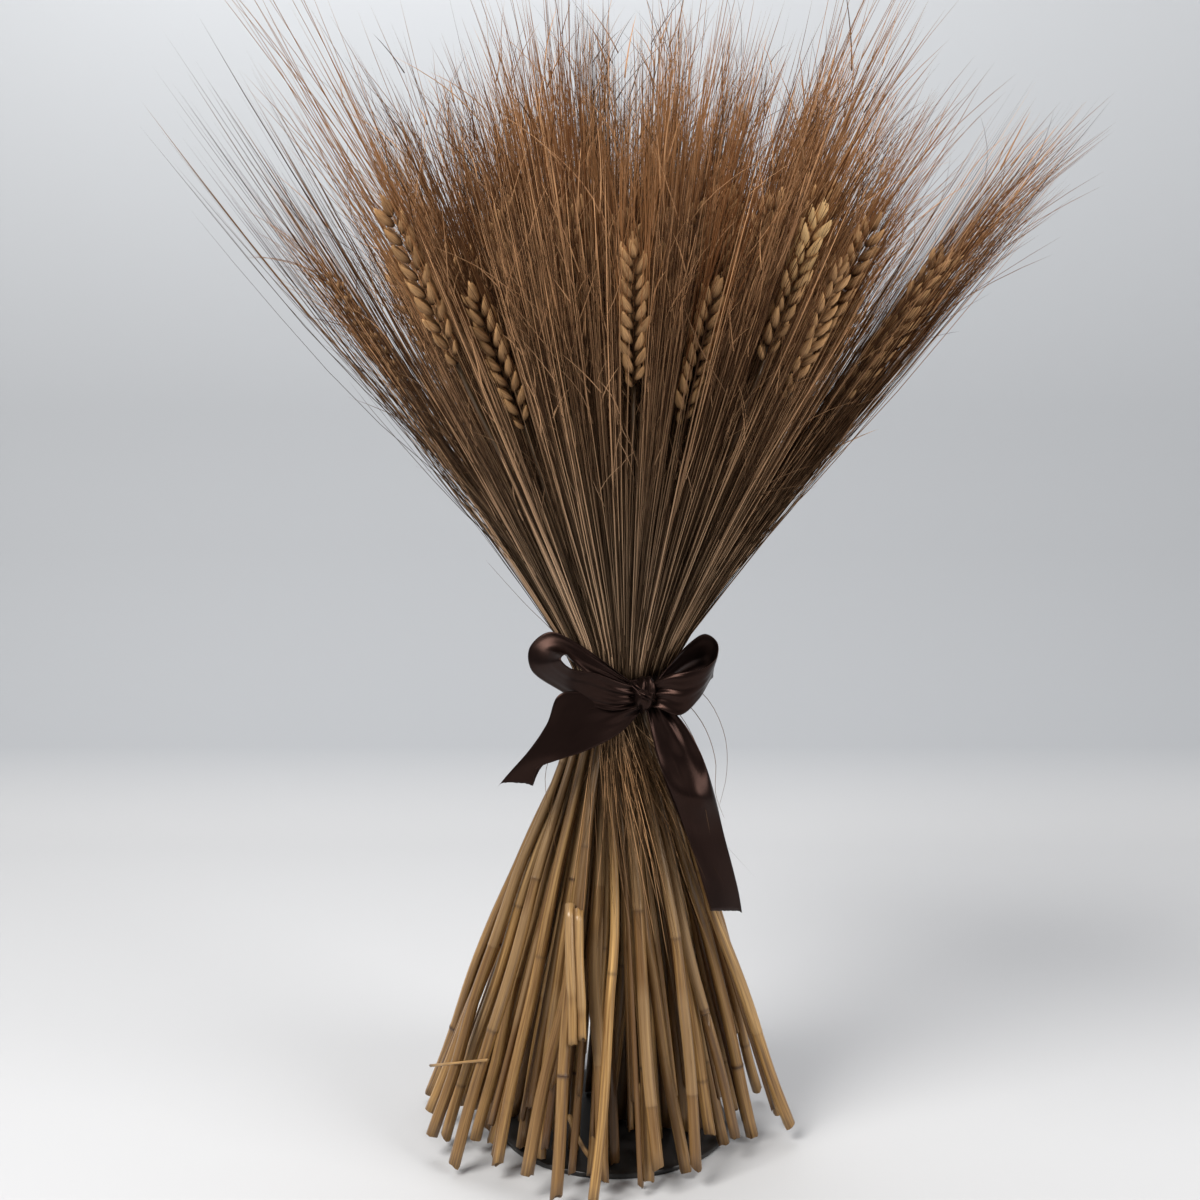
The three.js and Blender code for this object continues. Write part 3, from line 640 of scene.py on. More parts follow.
husk_rings = ring_points(
    husk_paths, HUSK_HALF_WIDTH * size[:, None] * girth, HUSK_SIDES, across=husk_out, squash=0.8
)
husk_tips = husk_paths[:, -1]
husk_angle = np.arange(HUSK_SIDES) * 2 * np.pi / HUSK_SIDES
husk_fibre = 0.002 * np.stack([np.cos(husk_angle), np.sin(husk_angle), 0 * husk_angle], -1)
husk_number = np.arange(len(size))
husk_fibre = (
    husk_fibre
    + t[None, :, None, None] * np.array([0, 0, 0.0007])
    + husk_number[:, None, None, None] * np.array([0.0071, 0.0033, 0.0057])
)
husk_tint = chance.random(len(size))
sunlit = np.zeros((count, SPIKELETS, 3))
sunlit[79] = np.clip((share - 0.4) / 0.3, 0, 1)[:, None]  # painted light: this ear's upper half is painted a lit gold
each = SPIKELETS * 3
ears = [
    tubes(
        husk_rings[i * each : (i + 1) * each],
        1,
        along=np.broadcast_to(t, (each, len(t))),
        tint=husk_tint[i * each : (i + 1) * each],
        mark=sunlit[i].ravel(),
        sheath=np.full(each, straw_tone_and_shade[i]),
        fibre=husk_fibre[i * each : (i + 1) * each],
    )
    for i in range(count)
]

husk, tree, shader = new_material(
    "Dry husk", IOR=1.42, Specular_IOR_Level=0.35, Specular_Tint=(1.0, 0.8, 0.6, 1)
)
along, shade = given(tree, "along"), given(tree, "tint")
ribs = fibred(tree, given(tree, "fibre", True), 2600.0, 0.0002)
tree.links.new(ribs.outputs["Normal"], shader.inputs["Normal"])
colour = blended(tree, ribs.outputs["Value"], (0.24, 0.12, 0.051, 1), (0.66, 0.395, 0.19, 1))
# Painted light and shade on each husk: its upper half is painted paler gold as a highlight, and its
# foot near black as the shade where the husks overlap.
colour = blended(tree, ranged(tree, along, 0.5, 1.0, 0.0, 0.5), colour, (0.74, 0.42, 0.175, 1))
colour = blended(tree, ranged(tree, along, 0.42, 0.0, 0.0, 0.95), colour, (0.028, 0.012, 0.006, 1))
colour = blended(tree, ranged(tree, shade, 0.5, 1.0, 0.0, 0.5), colour, (0.12, 0.06, 0.026, 1))
# Painted light: the mark turns the sunlit part of an ear gold.
colour = blended(tree, times(tree, given(tree, "mark"), 0.65), colour, (0.95, 0.64, 0.3, 1))
tree.links.new(colour, shader.inputs["Base Color"])
tree.links.new(ranged(tree, ribs.outputs["Value"], 0.0, 1.0, 0.45, 0.7), shader.inputs["Roughness"])

# ---- Awns ----
# Long stiff bristles, one from the tip of nearly every husk. They taper to nothing, spread like a
# brush above the ear, and make the bundle's reddish haze and its ragged outline.
AWN_RADIUS = 0.00034
AWN_LENGTH = 0.1
AWN_SIDES = 3
AWN_RINGS = 7
EAR_HALF_WIDTH = 12  # of a shown ear in the camera's picture, in pixels


def kept_inside(roots, tips, margin=0.001):
    """How much of each straight way from root to tip lies inside the CAD model's box."""
    low, high = (np.array(corner) for corner in cad_box)
    way = tips - roots
    room = np.where(way > 0, high - margin - roots, low + margin - roots)
    share = np.where(abs(way) > 1e-9, room / np.where(way == 0, 1, way), 1.0)
    return np.clip(share.min(1), 0.05, 1.0)


def in_picture(points):
    """Where the camera sees points: pixels to the right, pixels up, and the depth."""
    away = points - CAMERA_PLACE
    c, s = np.cos(CAMERA_DOWN), np.sin(CAMERA_DOWN)
    depth = away[..., 1] * c - away[..., 2] * s
    return 1300 * away[..., 0] / depth, 1300 * (away[..., 1] * s + away[..., 2] * c) / depth, depth


def clear_of_ears(points, own=None):
    """Whether each point is clear of the shown ears in the camera's view. One that isn't is nearer
    than an ear's line at that height of the picture, and less than half its width to its side. An awn
    is always clear of its own ear."""
    right, up, depth = in_picture(points)
    clear = np.ones(right.shape, bool)
    for ear in SHOWN_EARS:
        rights, ups, depths = in_picture(np.array([necks[ear], ear_tips[ear]]))
        share = (up - ups[0]) / (ups[1] - ups[0])
        aside = abs(right - rights[0] - share * (rights[1] - rights[0]))
        nearer = depth < depths[0] + share * (depths[1] - depths[0])
        hides = (share > 0) & (share < 1) & (aside < EAR_HALF_WIDTH) & nearer
        clear &= ~hides if own is None else ~hides | (own == ear)[:, None]
    return clear


chance = np.random.default_rng(37)
awned = np.broadcast_to((turns != 0) | (j[:, None] % 3 > 0), (count, SPIKELETS, 3)).ravel()
ear_of = np.repeat(np.arange(count), each)[awned]
turn_of = np.broadcast_to(turns, (count, SPIKELETS, 3)).ravel()[awned]
side_of = np.broadcast_to(side[:, None], (count, SPIKELETS, 3)).ravel()[awned]
total = len(ear_of)
roots = (husk_tips - husk_ways * 0.0008)[awned]
opening = (0.75 * lean[ear_of] * (1 + chance.normal(0, 0.35, total)))[:, None]
awn_ways = unit(
    ear_ways[ear_of]
    + rows[ear_of] * (0.05 * side_of + chance.normal(0, 0.042, total))[:, None]
    + fronts[ear_of] * (0.05 * turn_of + chance.normal(0, 0.042, total))[:, None]
    + outward[ear_of] * opening
)
longest = chance.uniform(0.52, 0.85, count) + 0.5 * (chance.random(count) < 0.27)
awn_lengths = AWN_LENGTH * longest[ear_of] * chance.uniform(0.75, 1.12, total)
curl = outward[ear_of] * chance.normal(0.005, 0.007, total)[:, None]
curl = curl + chance.normal(0, 0.005, (total, 3))
awn_runs = awn_ways * awn_lengths[:, None]
fit = kept_inside(roots, roots + awn_runs + curl)
t = np.linspace(0, 1, AWN_RINGS)
reach = (fit[:, None] * t)[:, :, None]
awn_paths = roots[:, None] + awn_runs[:, None] * reach + curl[:, None] * reach**2
awn_radii = AWN_RADIUS * chance.uniform(0.75, 1.15, (total, 1)) * (1 - 0.65 * t)
awn_rings = ring_points(awn_paths, awn_radii, AWN_SIDES)
awn_tint = 0.4 * chance.random(total) + 0.75 * chance.random(count)[ear_of]
awns = []
clear = clear_of_ears(awn_paths, ear_of).all(1)
for i in range(count):
    mine = (ear_of == i) & clear
    number = int(mine.sum())
    awns.append(
        tubes(
            awn_rings[mine],
            2,
            along=np.broadcast_to(t, (number, AWN_RINGS)),
            tint=awn_tint[mine],
            mark=np.zeros(number),
            sheath=np.full(number, straw_tone_and_shade[i]),
            fibre=np.zeros((number, AWN_RINGS, AWN_SIDES, 3)),
        )
    )

bristle, tree, shader = new_material(
    "Awn bristle", IOR=1.45, Roughness=0.5, Specular_IOR_Level=0.2, Specular_Tint=(1.0, 0.75, 0.5, 1)
)
light, inner, along = given(tree, "tint"), given(tree, "sheath"), given(tree, "along")
colour = blended(tree, ranged(tree, light, 0.3, 0.9), (0.09, 0.036, 0.014, 1), (0.54, 0.285, 0.125, 1))
# Painted shade: the awns of the inner straws are painted darker red-brown, from their straw's tint
# carried in the sheath attribute.
colour = blended(tree, ranged(tree, inner, 0.2, 0.9, 0.0, 0.6), colour, (0.20, 0.075, 0.026, 1))
colour = blended(tree, ranged(tree, along, 0.6, 1.0, 0.0, 0.5), colour, (0.12, 0.065, 0.032, 1))
tree.links.new(colour, shader.inputs["Base Color"])

for number, name in enumerate(stalk_nodes):
    first, second = 2 * number, 2 * number + 1
    parts = [straws[first], straws[second], ears[first], ears[second], awns[first], awns[second]]
    pair = new_piece(name.replace("stalks", "wheat"), parts, [straw, husk, bristle])
    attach(pair, "root")
    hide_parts(name)

# ---- Thin and broken straws ----
# Thinner straws stand between the thick ones and end inside the tie. A short broken pair is caught
# in front, bent stubs stick out at the foot, and a loose twig lies across the straws at the left.
TIE_ROUND = 0.014
FLARE_DOWN = 0.0515
TWIST_DOWN = 0.5
THIN_STRAWS = 84


def skirt(x, y, drop):
    """Where a straw that crosses the tie at (x, y) is at a depth below it: the tie's section, spread
    by (hypot(drop, round) - round) / flare, turned a little and flattened front to back."""
    grown = (np.hypot(drop, TIE_ROUND) - TIE_ROUND) / FLARE_DOWN
    turn = TWIST_DOWN * drop / np.hypot(drop, 0.07)
    flat = 1 - 0.18 * grown / (1 + grown)
    axis_x = 0.004 - 0.015 * drop / 0.256
    c, s = np.cos(turn), np.sin(turn)
    across = (1 + grown) * (x * c - y * s)
    deep = flat * (1 + grown) * (x * s + y * c)
    return np.stack([axis_x + across, deep, TIE_Z - drop], -1)


def distances(paths):
    """How far each path's points are along it from its first."""
    spans = np.linalg.norm(np.diff(paths, axis=1), axis=2)
    return np.concatenate([np.zeros((len(paths), 1)), np.cumsum(spans, 1)], 1)


def straw_piece(name, paths, radii, darkest, chance):
    """A piece of hollow straws with one joint each, in tints up to the darkest of the three."""
    at = distances(paths)
    to_joint = at - at[:, -1:] * chance.uniform(0.15, 0.8, (len(paths), 1))
    mark = chance.choice([0.2, 0.8], (len(paths), 1)) * np.exp(-((to_joint / 0.002) ** 2))
    sheath = ((to_joint > 0) & (to_joint < 0.05)).astype(float)
    tint = darkest * (0.5 + 0.5 * chance.random(len(paths)))
    rings, values = hollow_straws(paths, radii * (1 + 0.08 * sheath), at, mark, sheath, tint, chance)
    piece = new_piece(name, [tubes(rings, 0, **values)], [straw])
    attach(piece, "root")


def smooth_line(points, number):
    """A centripetal Catmull-Rom curve through points: each stretch blends the straight lines
    through its neighbours, with knots spaced by the square root of the distance."""
    p = np.array(points, float)
    p = np.vstack([2 * p[0] - p[1], p, 2 * p[-1] - p[-2]])
    knot = np.concatenate([[0], np.cumsum(np.sqrt(np.linalg.norm(np.diff(p, axis=0), axis=1)))])
    along = np.linspace(0, len(points) - 1, number)
    i = np.minimum(along.astype(int), len(points) - 2)
    t = (knot[i + 1] + (along - i) * (knot[i + 2] - knot[i + 1]))[:, None]
    k = [knot[i + n][:, None] for n in range(4)]
    q = [p[i + n] for n in range(4)]
    a = [((k[n + 1] - t) * q[n] + (t - k[n]) * q[n + 1]) / (k[n + 1] - k[n]) for n in range(3)]
    b = [((k[n + 2] - t) * a[n] + (t - k[n]) * a[n + 1]) / (k[n + 2] - k[n]) for n in range(2)]
    return ((k[2] - t) * b[0] + (t - k[1]) * b[1]) / (k[2] - k[1])


chance = np.random.default_rng(41)
azimuth = chance.uniform(0, 2 * np.pi, THIN_STRAWS)
out = 0.019 * chance.uniform(0.2, 1.0, THIN_STRAWS) ** 0.8
x, y = (out * np.cos(azimuth))[:, None], (out * np.sin(azimuth))[:, None]
t = np.linspace(1, 0, 26)
foot_z = chance.uniform(0.005, 0.05, (THIN_STRAWS, 1))
thin_paths = skirt(x, y, -0.004 + (TIE_Z + 0.004 - foot_z) * t)
thin_paths[:, :, :2] += chance.normal(0, 0.0045, (THIN_STRAWS, 1, 2)) * t[None, :, None]
thin_radii = 0.00095 + chance.uniform(0.0002, 0.0015, (THIN_STRAWS, 1)) * np.minimum(1, 1.6 * t)
# Painted shade: the thin straws get dark tints, from 0.7 to 1.4, as the shade in the gaps between the
# thick stalks.
straw_piece("thin_straws", thin_paths, thin_radii, 1.4, chance)

caught = [
    ([(-24.2, -54.3, 146), (-23.8, -64.8, 120), (-22.6, -72.1, 98), (-22.2, -77.9, 78)], 2.5),
    ([(-19.4, -56.9, 144), (-19.2, -63.7, 120), (-18.0, -71.0, 99), (-17.5, -76.6, 80)], 2.4),
    ([(-25, -50, 27), (-20, -55, 17), (-14, -59, 9), (-9, -62, 4.4)], 1.3),
    ([(12.4, -62.2, 50), (13.4, -67.6, 30), (13.8, -72.6, 15), (14, -77.5, 1.3)], 1.1),
    ([(-104, -22.4, 43.4), (-88, -38.7, 52), (-73.2, -53.8, 60), (-68, -59.1, 62.8)], 0.75),
]
caught_paths = np.array([smooth_line(np.array(points[::-1]) / 1000, 14) for points, _ in caught])
caught_radii = np.array([[radius / 1000] * 14 for _, radius in caught])
straw_piece("broken_straws", caught_paths, caught_radii, 0.5, chance)

# ---- Fine strands ----
# Thousands of thin grass stems and loose awns are gathered in the same tie. They run up round the
# stalks as a fan of straight hairs, grey-brown at the tie and reddish towards their fine ends, and
# they stand in tufts. In their upper half short hairs branch from them every way, like a fuzz.
FLARE_UP = 0.039
TWIST_UP = -0.17
BUNDLE_RADIUS = 0.0235
STRAND_RADIUS = 0.00029
STRAND_RINGS = 10
STRANDS = 2100  # in each quarter of the fan
TUFTS = 46  # in each quarter
CROSSING = 0.09  # the share of the strands before a shown ear that aren't cut back below it
LEAST_LIGHT = 0.4  # a strand's tint runs from 0, dark, to 1, and the light ones' from this


def fan(x, y, rise, hang=1.0):
    """Where a strand that crosses the tie at (x, y) is at a height above it: the tie's section,
    spread by hang * (hypot(rise, round) - round) / flare, turned a little and flattened."""
    grown = hang * (np.hypot(rise, TIE_ROUND) - TIE_ROUND) / FLARE_UP
    turn = TWIST_UP * rise / np.hypot(rise, 0.07)
    flat = 1 - 0.14 * grown / (1 + grown)
    axis_x = 0.004 + 0.008 * rise / 0.184
    c, s = np.cos(turn), np.sin(turn)
    across = (1 + grown) * (x * c - y * s)
    deep = flat * (1 + grown) * (x * s + y * c)
    return np.stack([axis_x + across, deep, TIE_Z + rise], -1)


def inside_box(points, margin=0.001):
    """Whether each point lies in the CAD model's box."""
    low, high = (np.array(corner) for corner in cad_box)
    return ((points > low + margin) & (points < high - margin)).all(-1)


def at_shares(paths, shares):
    """The points at shares, from 0 to 1, of each path, between its own points."""
    at = shares * (paths.shape[1] - 1)
    before = np.minimum(at.astype(int), paths.shape[1] - 2)
    row = np.arange(len(paths))[:, None]
    part = (at - before)[:, :, None]
    return paths[row, before] * (1 - part) + paths[row, before + 1] * part


def cut_back(paths, allowed, ragged=None):
    """The paths, each cut back to as much of it, from its start, as is allowed, and to a ragged
    share of that. A cut path keeps its number of points."""
    fine = np.broadcast_to(np.linspace(0, 1, 41), (len(paths), 41))
    fits = allowed(at_shares(paths, fine))
    whole = fits.all(1)
    reach = np.where(whole, 1.0, (np.argmin(fits, 1) - 1).clip(1) / 40)
    if ragged is not None:
        reach = np.where(whole, 1.0, reach * ragged)
    return at_shares(paths, reach[:, None] * np.linspace(0, 1, paths.shape[1]))


def standing(azimuth, out, top, drift, chance, hang=1.0):
    """Strands from the tie up to their tops: the fan's ways, each carried aside as it rises, by
    drift * (rise / 0.3) ** 1.2, and a little wavy. Most of those that hide a shown ear end below."""
    t = np.linspace(0, 1, STRAND_RINGS)
    rise = 0.002 + top[:, None] * t
    x, y = BUNDLE_RADIUS * out * np.cos(azimuth), BUNDLE_RADIUS * out * np.sin(azimuth)
    paths = fan(x[:, None], y[:, None], rise, hang)
    waves = np.sin(7 * t + chance.uniform(0, 6.3, (len(x), 1))) * t
    aside = drift[:, None] * (rise[:, :, None] / 0.3) ** 1.2
    paths[:, :, :2] += aside + chance.normal(0, 0.0013, (len(x), 1, 2)) * waves[:, :, None]
    below = cut_back(paths, clear_of_ears, chance.uniform(0.7, 1, len(x)))
    paths = np.where(chance.random((len(x), 1, 1)) < CROSSING, paths, below)
    return cut_back(paths, inside_box)


def through(points):
    """The azimuth and the share of the bundle's radius at which a strand crosses the tie, and how
    far it hangs out, so that the fan carries it through each point: the fan's way taken back."""
    rise = points[:, 2] - TIE_Z
    grown = (np.hypot(rise, TIE_ROUND) - TIE_ROUND) / FLARE_UP
    turn = TWIST_UP * rise / np.hypot(rise, 0.07)
    across = (points[:, 0] - 0.004 - 0.008 * rise / 0.184) / (1 + grown)
    deep = points[:, 1] / (1 + grown) / (1 - 0.14 * grown / (1 + grown))
    x, y = across * np.cos(turn) + deep * np.sin(turn), deep * np.cos(turn) - across * np.sin(turn)
    out = np.hypot(x, y) / BUNDLE_RADIUS
    hang = np.maximum(1.0, ((1 + grown) * out / 0.98 - 1) / grown)
    return np.arctan2(y, x), np.minimum(out, 0.98), hang[:, None]


def side_hairs(paths, number, chance):
    """Short hairs on the upper parts of strands: each leaves its strand at a chance place and runs
    along its way, pushed to one side by lean * t + bend * t * t of its own length."""
    strand = chance.integers(0, len(paths), number)
    share = chance.uniform(0.35, 0.97, number) * (STRAND_RINGS - 1)
    before = share.astype(int)
    ahead = paths[strand, before + 1] - paths[strand, before]
    root = paths[strand, before] + ahead * (share - before)[:, None]
    way = unit(ahead)
    aside = unit(np.cross(way, chance.normal(0, 1, (number, 3))))
    least, most = [0.01, 0.05, -0.5], [0.042, 0.65, 0.55]
    length, lean, bend = chance.uniform(least, most, (number, 3)).T[:, :, None, None]
    t = np.linspace(0, 1, 6)[:, None]
    hairs = root[:, None] + length * (way[:, None] * t + aside[:, None] * (lean * t + bend * t**2))
    high = root[:, 2] - TIE_Z > chance.uniform(0.09, 0.2, number)
    return cut_back(hairs[high & clear_of_ears(hairs).all(1)], inside_box)


def two_tone(number, light, chance):
    """A tint for each strand: a share of them is light, and the others are near black, partly their own
    dark tone and partly painted shade for the gaps between strands.
    """
    is_light = chance.random(number) < light
    light_tints = chance.uniform(LEAST_LIGHT, 1, number)
    return np.where(is_light, light_tints, 0.18 * chance.random(number) ** 1.5)


def fine_strands(name, strand_paths, tint, chance, radius=STRAND_RADIUS):
    """A piece of fine strands: three-sided tubes that thin out to a quarter at their ends. Light
    strands are thicker."""
    t = np.linspace(0, 1, strand_paths.shape[1])
    uneven = np.minimum(np.exp(chance.normal(0, 0.38, len(tint))), 2.2)
    thickness = radius * uneven * (0.85 + 0.6 * tint)
    rings = ring_points(strand_paths, thickness[:, None] * (1 - 0.75 * t**1.3), 3)
    piece = new_piece(name, [tubes(rings, 0, along=strand_paths[:, :, 2] - TIE_Z, tint=tint)], [hair])
    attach(piece, "root")


hair, tree, shader = new_material(
    "Fine dry stem", IOR=1.45, Roughness=0.55, Specular_IOR_Level=0.2, Specular_Tint=(1.0, 0.75, 0.5, 1)
)
shade = given(tree, "tint")
low_colour = blended(tree, shade, (0.022, 0.011, 0.005, 1), (0.54, 0.35, 0.215, 1))
in_skirt = ranged(tree, given(tree, "along"), -0.005, -0.04, 0.0, 0.8)
skirt_colour = blended(tree, shade, (0.022, 0.009, 0.003, 1), (0.5, 0.27, 0.12, 1))
low_colour = blended(tree, in_skirt, low_colour, skirt_colour)
high_colour = blended(tree, shade, (0.038, 0.014, 0.006, 1), (0.6, 0.325, 0.16, 1))
reddening = ranged(tree, given(tree, "along"), 0.07, 0.2)
tree.links.new(blended(tree, reddening, low_colour, high_colour), shader.inputs["Base Color"])

chance = np.random.default_rng(53)
fronts_of_fan, backs_of_fan = [], []
for quarter, name in enumerate(("back_right", "back_left", "front_left", "front_right")):
    tuft = chance.integers(0, TUFTS, STRANDS)
    loose = np.where(chance.random(STRANDS) < 0.25, 2.6, 0.8)
    azimuth = np.pi / 2 * (quarter + chance.random(TUFTS))[tuft]
    azimuth = azimuth + loose * chance.normal(0, 0.045, STRANDS)
    out = (0.32 + 0.68 * chance.random(TUFTS) ** 0.5)[tuft] + loose * chance.normal(0, 0.03, STRANDS)
    out = 1 - abs(1 - np.clip(out, 0.1, 1.9))
    short = (out > 0.76) & (abs(np.sin(azimuth)) < 0.72) & (chance.random(STRANDS) > 0.07)
    tall = (chance.uniform(0.24, 0.302, TUFTS) + 0.06 * (chance.random(TUFTS) < 0.1))[tuft]
    tall = np.minimum(tall + 0.03 * out * np.sin(azimuth), 0.385)  # the camera sees them end level
    low_top = chance.uniform(0.07, 0.19, STRANDS)
    top = np.where(short, low_top, tall * chance.uniform(0.76, 1.02, STRANDS))
    drift = chance.normal(0, 0.009, (TUFTS, 2))[tuft]
    drift = drift + loose[:, None] * chance.normal(0, 0.0055, (STRANDS, 2))
    strand_paths = standing(azimuth, out, top, drift, chance)
    (fronts_of_fan if quarter > 1 else backs_of_fan).append(strand_paths)
    light = (0.01 + 0.7 * chance.random(TUFTS) ** 1.7)[tuft]
    # Painted shade: the strands that cross the tie nearer its middle are tinted darker.
    tint = two_tone(STRANDS, light, chance) * np.clip(out * 1.5 - 0.4, 0.15, 1)
    fine_strands("fine_strands_" + name, strand_paths, tint, chance)

# In front a veil of more strands hides the ears between the shown ones.
veiling, tufts = 1500, 80
tuft = chance.integers(0, tufts, veiling)
loose = np.where(chance.random(veiling) < 0.4, 2.4, 0.7)
azimuth = np.radians(chance.uniform(212, 330, tufts))[tuft] + loose * chance.normal(0, 0.035, veiling)
out = chance.uniform(0.78, 1.03, tufts)[tuft] + chance.normal(0, 0.02, veiling)
top = chance.uniform(0.2, 0.285, tufts)[tuft] * chance.uniform(0.72, 1.05, veiling)
drift = chance.normal(0, 0.009, (tufts, 2))[tuft]
drift = drift + loose[:, None] * chance.normal(0, 0.006, (veiling, 2))
strand_paths = standing(azimuth, out, top, drift, chance)
fronts_of_fan.append(strand_paths)
in_middle = abs(azimuth - np.radians(262)) < 0.25  # the fan's middle is darker
light = (0.65 * chance.random(tufts) ** 1.7)[tuft] * np.where(in_middle, 0.2, 1.0)
fine_strands("fine_strands_veil", strand_paths, two_tone(veiling, light, chance), chance)

# Bunches of strands stand close in front of the other ears and cover them.
covered = np.array([ear for ear in range(count) if ear not in SHOWN_EARS and ear_tips[ear, 1] < 0.04])
at_side = np.where(ear_tips[covered, 0] < 0, 18, 60)
ear = np.repeat(covered, np.where(slender[covered] < 1, at_side, 28))
covering = len(ear)
share = chance.uniform(-0.1, 0.9, (covering, 1))
points = necks[ear] * (1 - share) + ear_tips[ear] * share + chance.normal(0, 0.0055, (covering, 3))
azimuth, out, hang = through(points + np.array([0.0, -0.009, 0.0]))
top = (ear_tips[ear, 2] - TIE_Z) * chance.uniform(0.85, 1.25, covering)
strand_paths = standing(azimuth, out, top, chance.normal(0, 0.002, (covering, 2)), chance, hang)
fronts_of_fan.append(strand_paths)
light = (0.03 + 0.7 * chance.random(count) ** 1.6) * np.where(abs(ear_tips[:, 0]) < 0.03, 0.4, 1.0)
tint = two_tone(covering, light[ear], chance)
fine_strands("fine_strands_cover", strand_paths, tint, chance)

# Thick tall brushes end above the rest. Each is given by the place of its end in millimetres, its
# number of strands and its share of light ones.
brushes = np.array([
    (-16, -30, 628, 220, 0.03), (-8, 15, 640, 150, 0.05), (-34, -45, 600, 90, 0.3),
    (24, -40, 616, 200, 0.4), (38, -10, 632, 150, 0.05), (66, -25, 616, 150, 0.1),
    (84, 20, 628, 110, 0.05), (116, -30, 604, 220, 0.75), (130, -8, 612, 130, 0.5),
    (-62, -50, 594, 80, 0.4), (-93, -30, 594, 90, 0.05), (-122, -40, 582, 60, 0.3),
    (-104, 30, 606, 70, 0.1), (158, 0, 594, 70, 0.3), (-60, 90, 630, 70, 0.3),
    (20, 110, 640, 70, 0.2), (90, 120, 626, 70, 0.2), (-110, 90, 600, 60, 0.2),
    (140, 90, 610, 60, 0.2), (5, 55, 632, 70, 0.2), (62, 60, 624, 60, 0.2),
    (-50, 45, 616, 60, 0.3), (4, -45, 600, 80, 0.1),
])
brush = np.repeat(np.arange(len(brushes)), brushes[:, 3].astype(int))
ends = brushes[brush, :3] / 1000
azimuth, out, hang = through(ends + chance.normal(0, 0.0046, (len(brush), 3)))
top = (ends[:, 2] - TIE_Z) * np.minimum(chance.uniform(0.74, 1.03, len(brush)), 0.99)
strand_paths = standing(azimuth, out, top, chance.normal(0, 0.0025, (len(brush), 2)), chance, hang)
fronts_of_fan.append(strand_paths)
tint = two_tone(len(brush), brushes[brush, 4], chance)
fine_strands("fine_strands_brushes", strand_paths, tint, chance)

# A tall tuft leans far out at the right, and dark single hairs at both sides, more of them left.
azimuth = np.concatenate([
    chance.normal(-0.13, 0.09, 420), chance.normal(3.25, 0.26, 230), chance.normal(0, 0.4, 60),
])
leaning = len(azimuth)
left = np.cos(azimuth) < 0
bend = np.clip((np.linspace(0, 1, STRAND_RINGS) * 0.27 - 0.05) / 0.12, 0, 1)
hang = np.where(left, chance.uniform(0.0, 0.5, leaning), chance.uniform(0.14, 0.3, leaning))
hang = 1.04 + hang[:, None] * bend**2 * (3 - 2 * bend)
top = np.where(left, chance.uniform(0.15, 0.36, leaning), chance.uniform(0.14, 0.31, leaning))
drift = chance.normal(0, 0.006, (leaning, 2))
strand_paths = standing(azimuth, chance.uniform(0.8, 0.98, leaning), top, drift, chance, hang)
tint = np.where(left, 0.3, 0.8) * two_tone(leaning, 0.35, chance)
fine_strands("fine_strands_leaning", strand_paths, tint, chance, np.where(left, 0.00042, 0.00034))

# Short hairs branch from the strands. They are made in three pieces, as they are many.
for name, strand_paths, number in (
    ("veil", fronts_of_fan[2:], 8500), ("front", fronts_of_fan, 8000), ("back", backs_of_fan, 7000)
):
    hairs = side_hairs(np.concatenate(strand_paths), number, chance)
    fine_strands("side_hairs_" + name, hairs, two_tone(len(hairs), 0.5, chance), chance, 0.00021)

# ---- Skirt of strands ----
# The thin stems' lower ends hang from the tie over the thick straws, mostly in front and to the
# right. They cross each other a little, and a few curl away from the bundle.
chance = np.random.default_rng(71)
hanging = 340
azimuth = chance.choice([-1, -1, -1, 1], hanging) * np.pi / 2 + chance.uniform(-0.65, 0.45, hanging)
out = chance.uniform(0.0222, 0.0243, hanging)
x, y = out * np.cos(azimuth), out * np.sin(azimuth)
drop_to = 0.03 + 0.11 * chance.random(hanging) ** 1.15
t = np.linspace(0, 1, STRAND_RINGS)
strand_paths = skirt(x[:, None], y[:, None], 0.004 + drop_to[:, None] * t)
strand_paths[:, :, 0] += chance.normal(0.006, 0.011, (hanging, 1)) * t**1.3
curling = (chance.random(hanging) < 0.08) * chance.uniform(0.002, 0.006, hanging)
strand_paths[:, :, 1] += curling[:, None] * np.sign(y)[:, None] * np.sin(np.pi * t)
waves = np.sin(5 * t + 4 * azimuth[:, None])[:, :, None]
strand_paths[:, :, :2] += chance.normal(0, 0.0018, (hanging, 1, 2)) * waves
light = np.where(azimuth > -1.6, 0.12, 0.33)  # painted shade: darker at the right and behind, away from the main lamp
tint = 0.95 * two_tone(hanging, light, chance)
fine_strands("fine_strands_skirt", strand_paths, tint, chance, 0.00024)

# Single long hairs stand off from the bundle: curls at the right of the tie, a bent stem across the
# fan, and loose ones at the sides. Each is given by the points that it runs through, in millimetres.
loose = [
    [(20, -8, 264), (36, -24, 264), (50, -32, 256), (60, -36, 236), (61, -40, 215), (56, -42, 194)],
    [(22, -6, 255), (38, -26, 253), (49, -33, 240), (55, -38, 222), (55, -41, 204), (60, -43, 190)],
    [(21, -4, 250), (33, -22, 248), (42, -32, 236), (50, -38, 214), (49, -42, 200), (52, -45, 182)],
    [(-30, -58, 372), (-52, -46, 376), (-75, -34, 379), (-99, -20, 375)],
    [(30, -103, 462), (40, -110, 436), (47, -108, 424), (55, -104, 412)],
    [(-20, -12, 272), (-34, -14, 290), (-50, -14, 306), (-73, -10, 331)],
    [(-17, -14, 270), (-28, -16, 292), (-38, -18, 318), (-56, -16, 348)],
    [(22, -10, 270), (36, -12, 292), (48, -14, 312), (66, -12, 334)],
    [(-14, -18, 248), (-24, -28, 226), (-34, -38, 200), (-36, -46, 176)],
    [(-16, -16, 248), (-30, -24, 232), (-38, -34, 214), (-33, -48, 182), (-30, -56, 168)],
]
